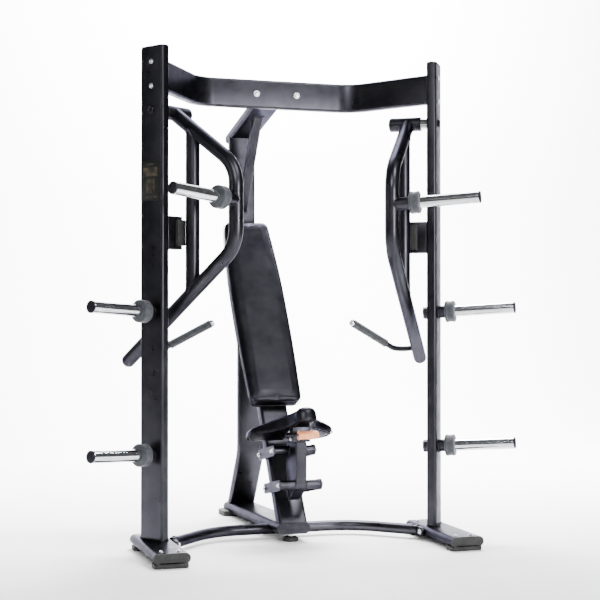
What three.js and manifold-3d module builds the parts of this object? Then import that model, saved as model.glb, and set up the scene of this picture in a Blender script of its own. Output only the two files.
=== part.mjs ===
// Plate-loaded chest press machine: two toed uprights with swinging arms,
// a bowed crossbeam and base tube, a reclined back pad and a seat on parallel links.
// Millimetres, +Z up. The user sits facing -Y. While it is being built, the frame
// stands with Y = 0 between the outer faces of the two uprights.

import * as THREE from 'three';
import { mergeVertices } from 'three/addons/utils/BufferGeometryUtils.js';
import Module from 'manifold-3d';

const wasm = await Module();
wasm.setup();

const rad = THREE.MathUtils.degToRad;
const { cos, sin, tan, PI } = Math;

// ---- driving dimensions -------------------------------------------------

const GAP = 0.3;                  // clearance between pieces that touch

// rectangular frame tube
const TUBE_WIDE = 125;
const TUBE_THIN = 42;
const TUBE_CORNER = 11;

// uprights
const TOE = rad(34);              // each upright is turned outwards by this
const UPRIGHT_X = 629;            // middle of the outer face, from the centre plane
const UPRIGHT_TOP = 2037;
const CAP_RISE = 8;

// feet
const FOOT_WIDE = 145;
const FOOT_HIGH = 40;
const FOOT_BASE = 18;             // underside of the foot tube
const FOOT_FRONT = -318;
const FOOT_REAR = 150;
const FOOT_X = 612;
const SHOE_WALL = 6;
const SHOE_PAD_LONG = 70;

// base
const BEAM_WIDE = 146;
const BEAM_HIGH = 48;
const BEAM_FRONT = { y: 92, z: 59 };
const BEAM_REAR = { y: 972, z: 31 };
const BASE_TUBE_RADIUS = 23;
const BASE_TUBE_Z = 38;
const BASE_TUBE_BOW_Y = 238;

// crossbeam
const CROSSBEAM_Z = 1932;
const CROSSBEAM_BOW_Y = 353;
const CROSSBEAM_BEND = 150;

// back frame, in the YZ plane
const RECLINE = rad(32);
const SUPPORT_FOOT = { y: 101.5, z: 112 };   // a point on the front face of the support
const SUPPORT_WIDE = 124;
const SUPPORT_THICK = 60;
const POST_TOP_Y = 918;
const POST_MID_Y = 758;
const TOP_TUBE_FALL = 0.217;      // fall towards the rear, per unit length
const TOP_TUBE_REAR_Y = 978;
const TOP_TUBE_UNDER = 1811;      // height of its underside over the front of the post
const BRACE_SIZE = 40;

// back pad
const PAD_LONG = 978;
const PAD_WIDE = 256;
const PAD_THICK = 48;
const PAD_START = 512;            // along the support from SUPPORT_FOOT
const BOARD_THICK = 15;
const BOARD_INSET = 14;

// arms: round tube bent in a vertical plane, seen as (forward, height)
const ARM_RADIUS = 28.75;
const ARM_PLANE = 133;            // inwards from the outer face of the upright
const ARM_BEND = 150;
const PIVOT_Z = 1787;
const ARM_CORNERS = [[0, PIVOT_Z], [337, 1550], [337, 1232], [-262, 768]];
const CHORD_S = 104;
const HOUSING_RADIUS = 30;
const HOUSING_IN = 206;           // inner end of the pivot housing
const HOUSING_OUT = 76;
const SHAFT_RADIUS = 20;

// stops
const STOP_LOW = 1226;
const STOP_HIGH = 1360;
const STOP_THICK = 46;
const BUMPER_THICK = 20;

// weight horns
const HORN_TILT = rad(3.5);
const STUB_RADIUS = 26;
const COLLAR_RADIUS = 46;
const COLLAR_LONG = 42;
const SLEEVE_RADIUS = 24.8;
const STORAGE_HEIGHTS = { lower: 398, upper: 972 };
const STORAGE_COLLAR = 30;        // start of the collar, out from the upright
const STORAGE_TIP = 330;
const ARM_HORN_Z = 1413;
const ARM_HORN_COLLAR = 76;       // start of the collar, out from the arm's plane
const ARM_HORN_TIP = 366;

// handles
const HANDLE_RADIUS = 12;
const GRIP_RADIUS = 17;
const GRIP_LONG = 196;

// seat linkage, in the YZ plane
const LOWER_REAR_PIVOT = { y: 203, z: 216 };
const PIVOT_SPACING = 160;        // along the support
const LINK = { y: -204, z: 38 };  // from a rear pivot to its front pivot
const SLEEVE_TUBE_RADIUS = 19;
const PIVOT_BOLT_RADIUS = 8;
const LINK_HIGH = 44;
const LINK_PLATE = 8;
const LINK_X = 84;                // inner face of each link plate

// seat
const SEAT_TILT = rad(18);
const SEAT_NOSE = { y: -124, z: 531 };
const SEAT_LONG = 370;
const SEAT_HALF = 184;
const NOSE_HALF = 43;
const NOSE_LONG = 26;
const SEAT_THICK = 58;
const WING_THICK = 26;            // at the outer edge of the thigh rests
const POST_HALF = 24;
const POST_FRONT = -21;
const POST_BACK = 112;
const POST_TOP = 432;
const BRACKET_HALF = 39;

// release lever
const LEVER_PIVOT = { y: 22, z: 458 };
const LEVER_X = -48;
const LEVER_GRIP = { y: -60, z: 465, from: -24, to: 62, radius: 18 };

// ---- materials ----------------------------------------------------------

const PALETTE = {
  powder: { color: 0x2c2b31, roughness: 0.38, metalness: 0.25 },
  chrome: { color: 0xc9ccd2, roughness: 0.12, metalness: 1.0 },
  collar: { color: 0x5d6472, roughness: 0.75, metalness: 0.0 },
  rubber: { color: 0x1c1c1f, roughness: 0.85, metalness: 0.0 },
  plastic: { color: 0x222226, roughness: 0.55, metalness: 0.0 },
  vinyl: { color: 0x26262b, roughness: 0.6, metalness: 0.0 },
  board: { color: 0x3a3530, roughness: 0.8, metalness: 0.0 },
  zinc: { color: 0xb9bcc0, roughness: 0.35, metalness: 0.9 },
  orange: { color: 0xf2a36b, roughness: 0.6, metalness: 0.0 },
  label: { color: 0x151517, roughness: 0.45, metalness: 0.0 },
};

function mesh(name, geometry, finish) {
  const piece = new THREE.Mesh(geometry, new THREE.MeshStandardMaterial(PALETTE[finish]));
  piece.name = name;
  return piece;
}

// ---- solids: joining and cutting ----------------------------------------

function solidOf(geometry) {
  const bare = geometry.clone();
  bare.deleteAttribute('normal');
  bare.deleteAttribute('uv');
  const merged = mergeVertices(bare, 1e-3);
  return new wasm.Manifold(new wasm.Mesh({
    numProp: 3,
    vertProperties: new Float32Array(merged.attributes.position.array),
    triVerts: new Uint32Array(merged.index.array),
  }));
}

function geometryOf(solid) {
  const result = solid.getMesh();
  const geometry = new THREE.BufferGeometry();
  geometry.setAttribute('position', new THREE.BufferAttribute(result.vertProperties, 3));
  geometry.setIndex(new THREE.BufferAttribute(result.triVerts, 1));
  geometry.computeVertexNormals();
  return geometry;
}

function join(first, ...others) {
  return geometryOf(others.reduce((sum, other) => sum.add(solidOf(other)), solidOf(first)));
}

function cut(body, ...tools) {
  return geometryOf(tools.reduce((rest, tool) => rest.subtract(solidOf(tool)), solidOf(body)));
}

// ---- basic shapes -------------------------------------------------------

const vec = (x, y, z) => new THREE.Vector3(x, y, z);

function roundedOutline(width, height, radius) {
  const x = width / 2 - radius;
  const y = height / 2 - radius;
  const outline = new THREE.Shape();
  outline.absarc(x, y, radius, 0, PI / 2);
  outline.absarc(-x, y, radius, PI / 2, PI);
  outline.absarc(-x, -y, radius, PI, 1.5 * PI);
  outline.absarc(x, -y, radius, 1.5 * PI, 2 * PI);
  return outline;
}

const frameSection = (wide = TUBE_WIDE, thin = TUBE_THIN) => roundedOutline(wide, thin, TUBE_CORNER);
const flatOval = (wide, high) => roundedOutline(wide, high, high * 0.49);

function roundSection(radius) {
  const outline = new THREE.Shape();
  outline.absarc(0, 0, radius, 0, 2 * PI);
  return outline;
}

// a prism of the outline, standing on z = 0
function prism(outline, height, bevel = 0) {
  return new THREE.ExtrudeGeometry(outline, {
    depth: height - 2 * bevel,
    steps: 1,
    curveSegments: 2,
    bevelEnabled: bevel > 0,
    bevelThickness: bevel,
    bevelSize: bevel,
    bevelOffset: -bevel,
    bevelSegments: bevel > 3 ? 2 : 1,
  }).translate(0, 0, bevel);
}

function box(from, to) {
  const size = to.clone().sub(from);
  const middle = from.clone().add(to).multiplyScalar(0.5);
  return new THREE.BoxGeometry(size.x, size.y, size.z).translate(middle.x, middle.y, middle.z);
}

function alongAxis(geometry, start, direction) {
  const turn = new THREE.Quaternion().setFromUnitVectors(vec(0, 0, 1), direction.clone().normalize());
  return geometry.applyQuaternion(turn).translate(start.x, start.y, start.z);
}

function rod(start, end, radius, sides = 20) {
  const axis = end.clone().sub(start);
  const cylinder = new THREE.CylinderGeometry(radius, radius, axis.length(), sides);
  cylinder.rotateX(PI / 2).translate(0, 0, axis.length() / 2);
  return alongAxis(cylinder, start, axis);
}

// a turned piece: [radius, height] pairs from the axis back to the axis
function turned(profile, sides = 24) {
  const points = profile.map(([r, z]) => new THREE.Vector2(r, z));
  return new THREE.LatheGeometry(points, sides).rotateX(PI / 2);
}

// a profile in the YZ plane, extruded to both sides of the centre plane
function sideProfile(points, halfWidth) {
  const outline = new THREE.Shape(points.map(([y, z]) => new THREE.Vector2(y, z)));
  const body = new THREE.ExtrudeGeometry(outline, { depth: 2 * halfWidth, bevelEnabled: false });
  return intoSidePlane(body).translate(-halfWidth, 0, 0);
}

// turns a shape drawn in XY and raised along Z into the YZ plane, raised along X
function intoSidePlane(geometry) {
  const turn = new THREE.Matrix4().makeBasis(vec(0, 1, 0), vec(0, 0, 1), vec(1, 0, 0));
  return geometry.applyMatrix4(turn);
}

// A flat path of straight runs and round bends. It spends its steps in the bends,
// and keeps the section's first axis along the normal of its plane.
class BentPath extends THREE.Curve {
  constructor(corners, bendRadius, planeNormal, stepsPerBend = 8) {
    super();
    this.planeNormal = planeNormal;
    this.stations = [];
    const last = corners.length - 1;
    this.addStation(corners[0], corners[1].clone().sub(corners[0]));
    for (let i = 1; i < last; i += 1) {
      this.addBend(corners[i - 1], corners[i], corners[i + 1], bendRadius, stepsPerBend);
    }
    this.addStation(corners[last], corners[last].clone().sub(corners[last - 1]));
  }

  addStation(point, tangent) {
    this.stations.push({ point: point.clone(), tangent: tangent.clone().normalize() });
  }

  addBend(before, corner, after, radius, steps) {
    const arriving = corner.clone().sub(before).normalize();
    const leaving = after.clone().sub(corner).normalize();
    const turn = arriving.angleTo(leaving);
    const axis = arriving.clone().cross(leaving).normalize();
    const start = corner.clone().addScaledVector(arriving, -radius * tan(turn / 2));
    const centre = start.clone().addScaledVector(axis.clone().cross(arriving), radius);
    for (let step = 0; step <= steps; step += 1) {
      const angle = turn * step / steps;
      const point = start.clone().sub(centre).applyAxisAngle(axis, angle).add(centre);
      this.addStation(point, arriving.clone().applyAxisAngle(axis, angle));
    }
  }

  get steps() {
    return this.stations.length - 1;
  }

  station(t) {
    return this.stations[Math.round(t * this.steps)];
  }

  getPoint(t, target = new THREE.Vector3()) {
    return target.copy(this.station(t).point);
  }

  getPointAt(t, target) {
    return this.getPoint(t, target);
  }

  getTangentAt(t, target = new THREE.Vector3()) {
    return target.copy(this.station(t).tangent);
  }

  computeFrenetFrames() {
    const tangents = this.stations.map(({ tangent }) => tangent);
    const normals = tangents.map(() => this.planeNormal.clone());
    const binormals = tangents.map((tangent) => tangent.clone().cross(this.planeNormal));
    return { tangents, normals, binormals };
  }
}

function bent(outline, corners, bendRadius, planeNormal, stepsPerBend = 8, curveSegments = 2) {
  const extrudePath = new BentPath(corners, bendRadius, planeNormal, stepsPerBend);
  return new THREE.ExtrudeGeometry(outline, { steps: extrudePath.steps, curveSegments, extrudePath });
}

// ---- frames of reference ------------------------------------------------

// Beside each upright, local +Y points backwards along its wide face, local Z is up and
// "inwards" runs towards the other side from the middle of the outer face.
const SIDES = [{ name: 'left', out: -1 }, { name: 'right', out: 1 }];

function sideGroup(side, pieces) {
  const group = new THREE.Group();
  group.position.set(side.out * UPRIGHT_X, 0, 0);
  group.rotation.z = -side.out * TOE;
  group.add(...pieces);
  return group;
}

const sidePoint = (side, inwards, forward, z) => vec(-side.out * inwards, -forward, z);

// the same point in the machine's frame
function worldPoint(side, inwards, forward, z) {
  return sidePoint(side, inwards, forward, z)
    .applyAxisAngle(vec(0, 0, 1), -side.out * TOE)
    .add(vec(side.out * UPRIGHT_X, 0, 0));
}

function hornDirection(side) {
  return vec(side.out * cos(HORN_TILT), 0, sin(HORN_TILT));
}

// along the support: distance up its front face, and distance out in front of it
function onSupport(along, infront) {
  return {
    y: SUPPORT_FOOT.y + along * sin(RECLINE) - infront * cos(RECLINE),
    z: SUPPORT_FOOT.z + along * cos(RECLINE) + infront * sin(RECLINE),
  };
}

// ---- uprights, feet and storage horns -----------------------------------

function stub(side, inwards, forward, z, from, to, radius) {
  const root = sidePoint(side, inwards, forward, z);
  const axis = hornDirection(side);
  return rod(root.clone().addScaledVector(axis, from), root.clone().addScaledVector(axis, to), radius);
}

function uprightTube(side) {
  const foot = FOOT_BASE + FOOT_HIGH + GAP;
  const column = prism(frameSection(TUBE_THIN, TUBE_WIDE), UPRIGHT_TOP - foot);
  column.translate(-side.out * TUBE_THIN / 2, 0, foot);
  const stubs = Object.values(STORAGE_HEIGHTS).map(
    (z) => stub(side, 0, 0, z, -TUBE_THIN - 24, STORAGE_COLLAR - GAP, STUB_RADIUS),
  );
  const bore = rod(sidePoint(side, -5, 0, PIVOT_Z), sidePoint(side, 50, 0, PIVOT_Z), SHAFT_RADIUS + GAP);
  return mesh(`${side.name}_upright`, cut(join(column, ...stubs), bore), 'powder');
}

function uprightCap(side) {
  const cap = prism(frameSection(TUBE_THIN, TUBE_WIDE), CAP_RISE, 4);
  cap.translate(-side.out * TUBE_THIN / 2, 0, UPRIGHT_TOP + GAP);
  return mesh(`${side.name}_upright_cap`, cap, 'plastic');
}

// a rubber stop ring, and a chrome sleeve that the plates slide on to
function horn(side, label, inwards, forward, z, collarStart, tip) {
  const root = sidePoint(side, inwards, forward, z);
  const axis = hornDirection(side);
  const place = (geometry, distance) => {
    const start = root.clone().addScaledVector(axis, distance);
    return alongAxis(geometry, start, axis);
  };
  const edge = 5;
  const collar = turned([
    [0, 0], [COLLAR_RADIUS - edge, 0], [COLLAR_RADIUS, edge],
    [COLLAR_RADIUS, COLLAR_LONG - edge], [COLLAR_RADIUS - edge, COLLAR_LONG], [0, COLLAR_LONG],
  ]);
  const sleeveLong = tip - collarStart - COLLAR_LONG - GAP;
  const sleeve = turned([
    [0, 0], [SLEEVE_RADIUS, 0], [SLEEVE_RADIUS, sleeveLong - 3],
    [SLEEVE_RADIUS - 3, sleeveLong], [0, sleeveLong],
  ]);
  return [
    mesh(`${label}_collar`, place(collar, collarStart), 'collar'),
    mesh(`${label}_sleeve`, place(sleeve, collarStart + COLLAR_LONG + GAP), 'chrome'),
  ];
}

function storageHorns(side) {
  return Object.entries(STORAGE_HEIGHTS).flatMap(
    ([level, z]) => horn(side, `${side.name}_${level}_storage`, 0, 0, z, STORAGE_COLLAR, STORAGE_TIP),
  );
}

function armHorn(side) {
  const forward = ARM_CORNERS[1][0];
  const label = `${side.name}_arm_horn`;
  return horn(side, label, ARM_PLANE, forward, ARM_HORN_Z, ARM_HORN_COLLAR, ARM_HORN_TIP);
}

function footTube(side) {
  const tube = prism(flatOval(FOOT_WIDE, FOOT_HIGH), FOOT_REAR - FOOT_FRONT);
  tube.rotateX(-PI / 2).translate(side.out * FOOT_X, FOOT_FRONT, FOOT_BASE + FOOT_HIGH / 2);
  return mesh(`${side.name}_foot`, tube, 'powder');
}

// a moulded shoe that closes the tube's end and carries a rubber pad under it
function footShoe(side, end, direction) {
  const middle = FOOT_BASE + FOOT_HIGH / 2;
  const face = direction < 0 ? FOOT_FRONT - GAP : FOOT_REAR + GAP;
  const plug = prism(flatOval(FOOT_WIDE, FOOT_HIGH), SHOE_WALL, 2);
  plug.rotateX(direction < 0 ? PI / 2 : -PI / 2).translate(0, face, middle);
  const pad = prism(roundedOutline(FOOT_WIDE - 10, SHOE_PAD_LONG, 14), FOOT_BASE - GAP - 0.5, 2);
  pad.translate(0, face + direction * (SHOE_WALL - 0.5 - SHOE_PAD_LONG / 2), 0);
  const web = box(
    vec(-FOOT_WIDE / 2 + 22, Math.min(face, face + direction * (SHOE_WALL - 1)), FOOT_BASE - 4),
    vec(FOOT_WIDE / 2 - 22, Math.max(face, face + direction * (SHOE_WALL - 1)), FOOT_BASE + 6),
  );
  const shoe = join(plug, pad, web).translate(side.out * FOOT_X, 0, 0);
  return mesh(`${side.name}_${end}_shoe`, shoe, 'rubber');
}

function curvedBaseTube() {
  const inner = FOOT_X - FOOT_WIDE / 2 - GAP;
  const flange = 6;
  const reach = inner - flange;
  const corner = reach - (BASE_TUBE_BOW_Y - 12);
  const path = [
    vec(-reach, 12, BASE_TUBE_Z), vec(-corner, BASE_TUBE_BOW_Y, BASE_TUBE_Z),
    vec(corner, BASE_TUBE_BOW_Y, BASE_TUBE_Z), vec(reach, 12, BASE_TUBE_Z),
  ];
  const tube = bent(roundSection(BASE_TUBE_RADIUS), path, 300, vec(0, 0, 1), 9, 6);
  const between = (out, near, far, front, rear, low, high) => box(
    vec(Math.min(out * near, out * far), front, low),
    vec(Math.max(out * near, out * far), rear, high),
  );
  const plates = SIDES.map(({ out }) => between(out, inner, reach - 14, -52, 62, 21, 56));
  const beyond = SIDES.map(({ out }) => between(out, inner, 700, -100, 200, 0, 100));
  return mesh('curved_base_tube', cut(join(tube, ...plates), beamSolid(GAP), ...beyond), 'powder');
}

// ---- base beam and its feet ---------------------------------------------

const beamStart = vec(0, BEAM_FRONT.y, BEAM_FRONT.z);
const beamAxis = vec(0, BEAM_REAR.y - BEAM_FRONT.y, BEAM_REAR.z - BEAM_FRONT.z);

function beamSolid(grow = 0, forward = 0) {
  const outline = flatOval(BEAM_WIDE + 2 * grow, BEAM_HIGH + 2 * grow);
  const bar = prism(outline, beamAxis.length() + forward).translate(0, 0, -forward);
  return alongAxis(bar, beamStart, beamAxis);
}

function baseBeam() {
  return mesh('base_beam', beamSolid(), 'powder');
}

function beamFrontCap() {
  const cap = prism(flatOval(BEAM_WIDE, BEAM_HIGH), 8, 3).translate(0, 0, GAP);
  return mesh('base_beam_front_cap', alongAxis(cap, beamStart, beamAxis.clone().negate()), 'plastic');
}

function levellingFoot() {
  const top = BEAM_FRONT.z - BEAM_HIGH / 2 - 2;
  const foot = turned([[0, 0], [31, 0], [33, 3], [30, 18], [22, 21], [7, 22], [7, top], [0, top]], 24);
  return mesh('levelling_foot', foot.translate(0, 128, 0), 'rubber');
}

function rearRubberFoot() {
  const block = prism(roundedOutline(204, 116, 18), 24, 3);
  const shoe = cut(block.translate(0, 922, 0), beamSolid(GAP));
  return mesh('rear_rubber_foot', shoe, 'rubber');
}

// ---- back frame ---------------------------------------------------------

// the height at which the post's centre line crosses from upright to leaning
function postKneeZ(y) {
  const shift = TUBE_THIN / 2 / cos(RECLINE);
  return SUPPORT_FOOT.z + (y - SUPPORT_FOOT.y - shift) / tan(RECLINE);
}

function rearPost() {
  const path = [
    vec(0, 938, 38), vec(0, POST_MID_Y, 318), vec(0, POST_MID_Y, postKneeZ(POST_MID_Y)),
    vec(0, POST_TOP_Y, postKneeZ(POST_TOP_Y)), vec(0, POST_TOP_Y, TOP_TUBE_UNDER + 15),
  ];
  const post = bent(frameSection(), path, 150, vec(1, 0, 0), 6);
  return mesh('rear_post', cut(post, beamSolid(GAP), topTubeSolid(GAP)), 'powder');
}

function slantedSupport() {
  const top = 1250;
  const outline = frameSection(SUPPORT_WIDE, SUPPORT_THICK);
  const bar = prism(outline, top);
  bar.rotateX(-RECLINE);
  const start = onSupport(-80, -SUPPORT_THICK / 2);
  bar.translate(0, start.y, start.z);
  const behindPost = box(vec(-90, POST_MID_Y - TUBE_THIN / 2 - GAP, 700), vec(90, 1200, 1500));
  const trimmed = cut(bar, beamSolid(GAP, 60), belowBeam(), behindPost);
  const sleeves = [0, 1].map((row) => pivotSleeve(rearPivot(row), SUPPORT_WIDE / 2 - 4));
  const bores = [0, 1].map((row) => crossBar(rearPivot(row), 120, PIVOT_BOLT_RADIUS + GAP));
  return mesh('slanted_support', cut(join(trimmed, ...sleeves.flat()), ...bores), 'powder');
}

function belowBeam() {
  return box(vec(-90, -60, -200), vec(90, 400, BEAM_FRONT.z - 8));
}

function topTubeSolid(grow = 0) {
  const slope = Math.atan(TOP_TUBE_FALL);
  const front = CROSSBEAM_BOW_Y + TUBE_THIN / 2 + GAP;
  const long = (TOP_TUBE_REAR_Y - front) / cos(slope);
  const tube = prism(frameSection(TUBE_WIDE + 2 * grow, TUBE_THIN + 2 * grow), long + 60);
  const postFront = POST_TOP_Y - TUBE_THIN / 2;
  const underside = TOP_TUBE_UNDER + (postFront - front) * TOP_TUBE_FALL;
  tube.translate(0, 0, -60).rotateX(-PI / 2 - slope);
  tube.translate(0, front, underside + TUBE_THIN / 2 / cos(slope));
  return cut(tube, box(vec(-90, front - 200, 1700), vec(90, front - grow, 2200)));
}

function topTubeCap() {
  const slope = Math.atan(TOP_TUBE_FALL);
  const cap = prism(frameSection(), 8, 3).translate(0, 0, GAP);
  const postFront = POST_TOP_Y - TUBE_THIN / 2;
  const rearUnder = TOP_TUBE_UNDER - (TOP_TUBE_REAR_Y - postFront) * TOP_TUBE_FALL;
  cap.rotateX(-PI / 2 - slope).translate(0, TOP_TUBE_REAR_Y, rearUnder + TUBE_THIN / 2 / cos(slope));
  return mesh('top_tube_cap', cap, 'plastic');
}

function diagonalBrace() {
  const start = vec(0, 636, 1884);
  const end = vec(0, 915, 1450);
  const bar = prism(roundedOutline(BRACE_SIZE, BRACE_SIZE, 5), end.distanceTo(start));
  alongAxis(bar, start, end.clone().sub(start));
  const postRoom = box(vec(-70, POST_TOP_Y - TUBE_THIN / 2 - GAP, 1300), vec(70, 1200, 1750));
  return mesh('diagonal_brace', cut(bar, topTubeSolid(GAP), postRoom), 'powder');
}

// The beam's ends lean back from the uprights, and its middle is bowed to the rear.
function crossbeam() {
  const away = PI / 2 - TOE;
  const start = worldPoint(SIDES[1], TUBE_THIN / 2, 12, CROSSBEAM_Z);
  const cornerX = start.x - (CROSSBEAM_BOW_Y - start.y) / tan(away);
  const path = [
    vec(-start.x, start.y, CROSSBEAM_Z), vec(-cornerX, CROSSBEAM_BOW_Y, CROSSBEAM_Z),
    vec(cornerX, CROSSBEAM_BOW_Y, CROSSBEAM_Z), start,
  ];
  const beam = bent(frameSection(), path, CROSSBEAM_BEND, vec(0, 0, 1), 9);
  const rooms = SIDES.map((side) => {
    const room = box(vec(-TUBE_THIN - GAP, -120, 1700), vec(200, 120, 2100));
    const turnedRoom = side.out < 0 ? room.rotateZ(PI) : room;
    return turnedRoom.rotateZ(-side.out * TOE).translate(side.out * UPRIGHT_X, 0, 0);
  });
  return mesh('crossbeam', cut(beam, ...rooms), 'powder');
}

// ---- back pad -----------------------------------------------------------

function padSlab(outline, thickness, along, infront, bevel) {
  const slab = prism(outline, thickness, bevel);
  const place = onSupport(along, infront);
  return slab.rotateX(PI / 2 - RECLINE).translate(0, place.y, place.z);
}

function backPad() {
  const middle = PAD_START + PAD_LONG / 2;
  const outline = roundedOutline(PAD_WIDE, PAD_LONG, 32);
  const pad = padSlab(outline, PAD_THICK, middle, BOARD_THICK + 2 * GAP, 10);
  return mesh('back_pad', pad, 'vinyl');
}

function backBoard() {
  const middle = PAD_START + PAD_LONG / 2;
  const outline = roundedOutline(PAD_WIDE - 2 * BOARD_INSET, PAD_LONG - 6 * BOARD_INSET, 30);
  return mesh('back_board', padSlab(outline, BOARD_THICK, middle, GAP, 0), 'board');
}

// ---- arms ---------------------------------------------------------------

function armPoint(side, [forward, z]) {
  return sidePoint(side, ARM_PLANE, forward, z);
}

// a round bar on the arm's pivot axis, between two distances inwards
function pivotRod(side, from, to, radius) {
  return rod(sidePoint(side, from, 0, PIVOT_Z), sidePoint(side, to, 0, PIVOT_Z), radius, 24);
}

function bowTube(side, radius) {
  const corners = ARM_CORNERS.map((corner) => armPoint(side, corner));
  return bent(roundSection(radius), corners, ARM_BEND, vec(1, 0, 0), 8, 6);
}

function armBow(side) {
  const lowEnd = armPoint(side, ARM_CORNERS[3]);
  const end = new THREE.SphereGeometry(ARM_RADIUS * 0.98, 20, 10).translate(...lowEnd.toArray());
  const housing = pivotRod(side, HOUSING_OUT, HOUSING_IN, HOUSING_RADIUS);
  const hornEnd = ARM_HORN_COLLAR - GAP;
  const hornStub = stub(side, ARM_PLANE, ARM_CORNERS[1][0], ARM_HORN_Z, 0, hornEnd, STUB_RADIUS);
  const bore = pivotRod(side, HOUSING_OUT - 5, HOUSING_IN + 5, SHAFT_RADIUS + GAP);
  const bow = join(bowTube(side, ARM_RADIUS), end, housing, hornStub);
  return mesh(`${side.name}_arm_bow`, cut(bow, bore), 'powder');
}

// the chord runs between the middle lines of the bow's two slanted runs
function armChord(side) {
  const low = sidePoint(side, ARM_PLANE, CHORD_S, 1000);
  const high = sidePoint(side, ARM_PLANE, CHORD_S, 1760);
  const tube = rod(low, high, ARM_RADIUS, 24);
  const corners = ARM_CORNERS.map((corner) => armPoint(side, corner));
  const room = bowTube(side, ARM_RADIUS + GAP);
  const trimmed = [[0, 1], [2, 3]].reduce((solid, [from, to]) => {
    const run = corners[to].clone().sub(corners[from]);
    const normal = vec(1, 0, 0).cross(run).normalize();
    return solid.trimByPlane(normal.toArray(), normal.dot(corners[from]));
  }, solidOf(tube));
  return mesh(`${side.name}_arm_chord`, geometryOf(trimmed.subtract(solidOf(room))), 'powder');
}

// fixed to the upright: the arm turns on it, a cap outside and a spacer inside hold it
function pivotShaft(side) {
  const parts = [
    [-4.5, HOUSING_IN - 6, SHAFT_RADIUS],
    [-7, -GAP, 16],
    [TUBE_THIN + GAP, HOUSING_OUT - GAP, 24],
  ].map(([from, to, radius]) => pivotRod(side, from, to, radius));
  return mesh(`${side.name}_pivot_shaft`, join(...parts), 'zinc');
}

function housingCap(side) {
  const radius = HOUSING_RADIUS;
  const cap = turned([[0, 0], [radius, 0], [radius, 5], [radius - 6, 10], [0, 11]]);
  alongAxis(cap, sidePoint(side, HOUSING_IN + GAP, 0, PIVOT_Z), vec(-side.out, 0, 0));
  return mesh(`${side.name}_housing_cap`, cap, 'plastic');
}

function stopBracket(side) {
  const inner = TUBE_THIN + GAP;
  const face = CHORD_S - ARM_RADIUS - BUMPER_THICK - 2 * GAP;
  const bracket = prism(roundedOutline(ARM_PLANE - 6 - inner, STOP_THICK, 5), STOP_HIGH - STOP_LOW, 2);
  bracket.translate(-side.out * (inner + ARM_PLANE - 6) / 2, -face + STOP_THICK / 2, STOP_LOW);
  return mesh(`${side.name}_stop_bracket`, bracket, 'powder');
}

function stopBumper(side) {
  const face = CHORD_S - ARM_RADIUS - GAP;
  const bumper = prism(roundedOutline(44, BUMPER_THICK, 4), STOP_HIGH - STOP_LOW - 30, 2);
  bumper.translate(-side.out * (ARM_PLANE - 30), -face + BUMPER_THICK / 2, STOP_LOW + 15);
  return mesh(`${side.name}_stop_bumper`, bumper, 'rubber');
}

// the handle leaves the inner side of the arm's low end, and turns up along the grip
function handle(side) {
  const root = handlePoints(side);
  const stations = [root.wall, root.out, root.bend, root.grip, root.tip];
  const extrudePath = new THREE.CatmullRomCurve3(stations, false, 'centripetal');
  const outline = roundSection(HANDLE_RADIUS);
  const tube = new THREE.ExtrudeGeometry(outline, { steps: 30, curveSegments: 6, extrudePath });
  const gripStart = root.grip.clone().lerp(root.tip, 0.02);
  const beyondTip = root.tip.clone().lerp(root.grip, -0.2);
  const inside = rod(gripStart, beyondTip, HANDLE_RADIUS + 5);
  return mesh(`${side.name}_handle`, cut(tube, bowTube(side, ARM_RADIUS + GAP), inside), 'powder');
}

function handlePoints(side) {
  const wall = sidePoint(side, ARM_PLANE + 20, -205, 812);
  const out = sidePoint(side, ARM_PLANE + 60, -190, 808);
  const bend = sidePoint(side, ARM_PLANE + 100, -170, 812);
  const grip = sidePoint(side, ARM_PLANE + 128, -152, 829);
  const tip = sidePoint(side, 382, -27, 921);
  return { wall, out, bend, grip, tip };
}

function grip(side) {
  const { grip: start, tip } = handlePoints(side);
  const axis = tip.clone().sub(start);
  const body = turned([
    [0, 0], [GRIP_RADIUS, 0], [GRIP_RADIUS, GRIP_LONG], [HANDLE_RADIUS + 2, GRIP_LONG + 1],
    [HANDLE_RADIUS + 2, GRIP_LONG + 10], [HANDLE_RADIUS - 2, GRIP_LONG + 14], [0, GRIP_LONG + 14],
  ]);
  const first = start.clone().addScaledVector(axis.normalize(), 5);
  return mesh(`${side.name}_grip`, alongAxis(body, first, axis), 'collar');
}

// ---- seat linkage -------------------------------------------------------

function rearPivot(row) {
  return {
    y: LOWER_REAR_PIVOT.y + row * PIVOT_SPACING * sin(RECLINE),
    z: LOWER_REAR_PIVOT.z + row * PIVOT_SPACING * cos(RECLINE),
  };
}

function frontPivot(row) {
  const rear = rearPivot(row);
  return { y: rear.y + LINK.y, z: rear.z + LINK.z };
}

function crossBar(pivot, half, radius, sides = 24) {
  return rod(vec(-half, pivot.y, pivot.z), vec(half, pivot.y, pivot.z), radius, sides);
}

// the two stubs of tube, left and right of a member, that a pivot bolt runs through
function pivotSleeve(pivot, inner) {
  const at = (x) => vec(x, pivot.y, pivot.z);
  return [-1, 1].map(
    (way) => rod(at(way * inner), at(way * (LINK_X - GAP)), SLEEVE_TUBE_RADIUS, 24),
  );
}

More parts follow.
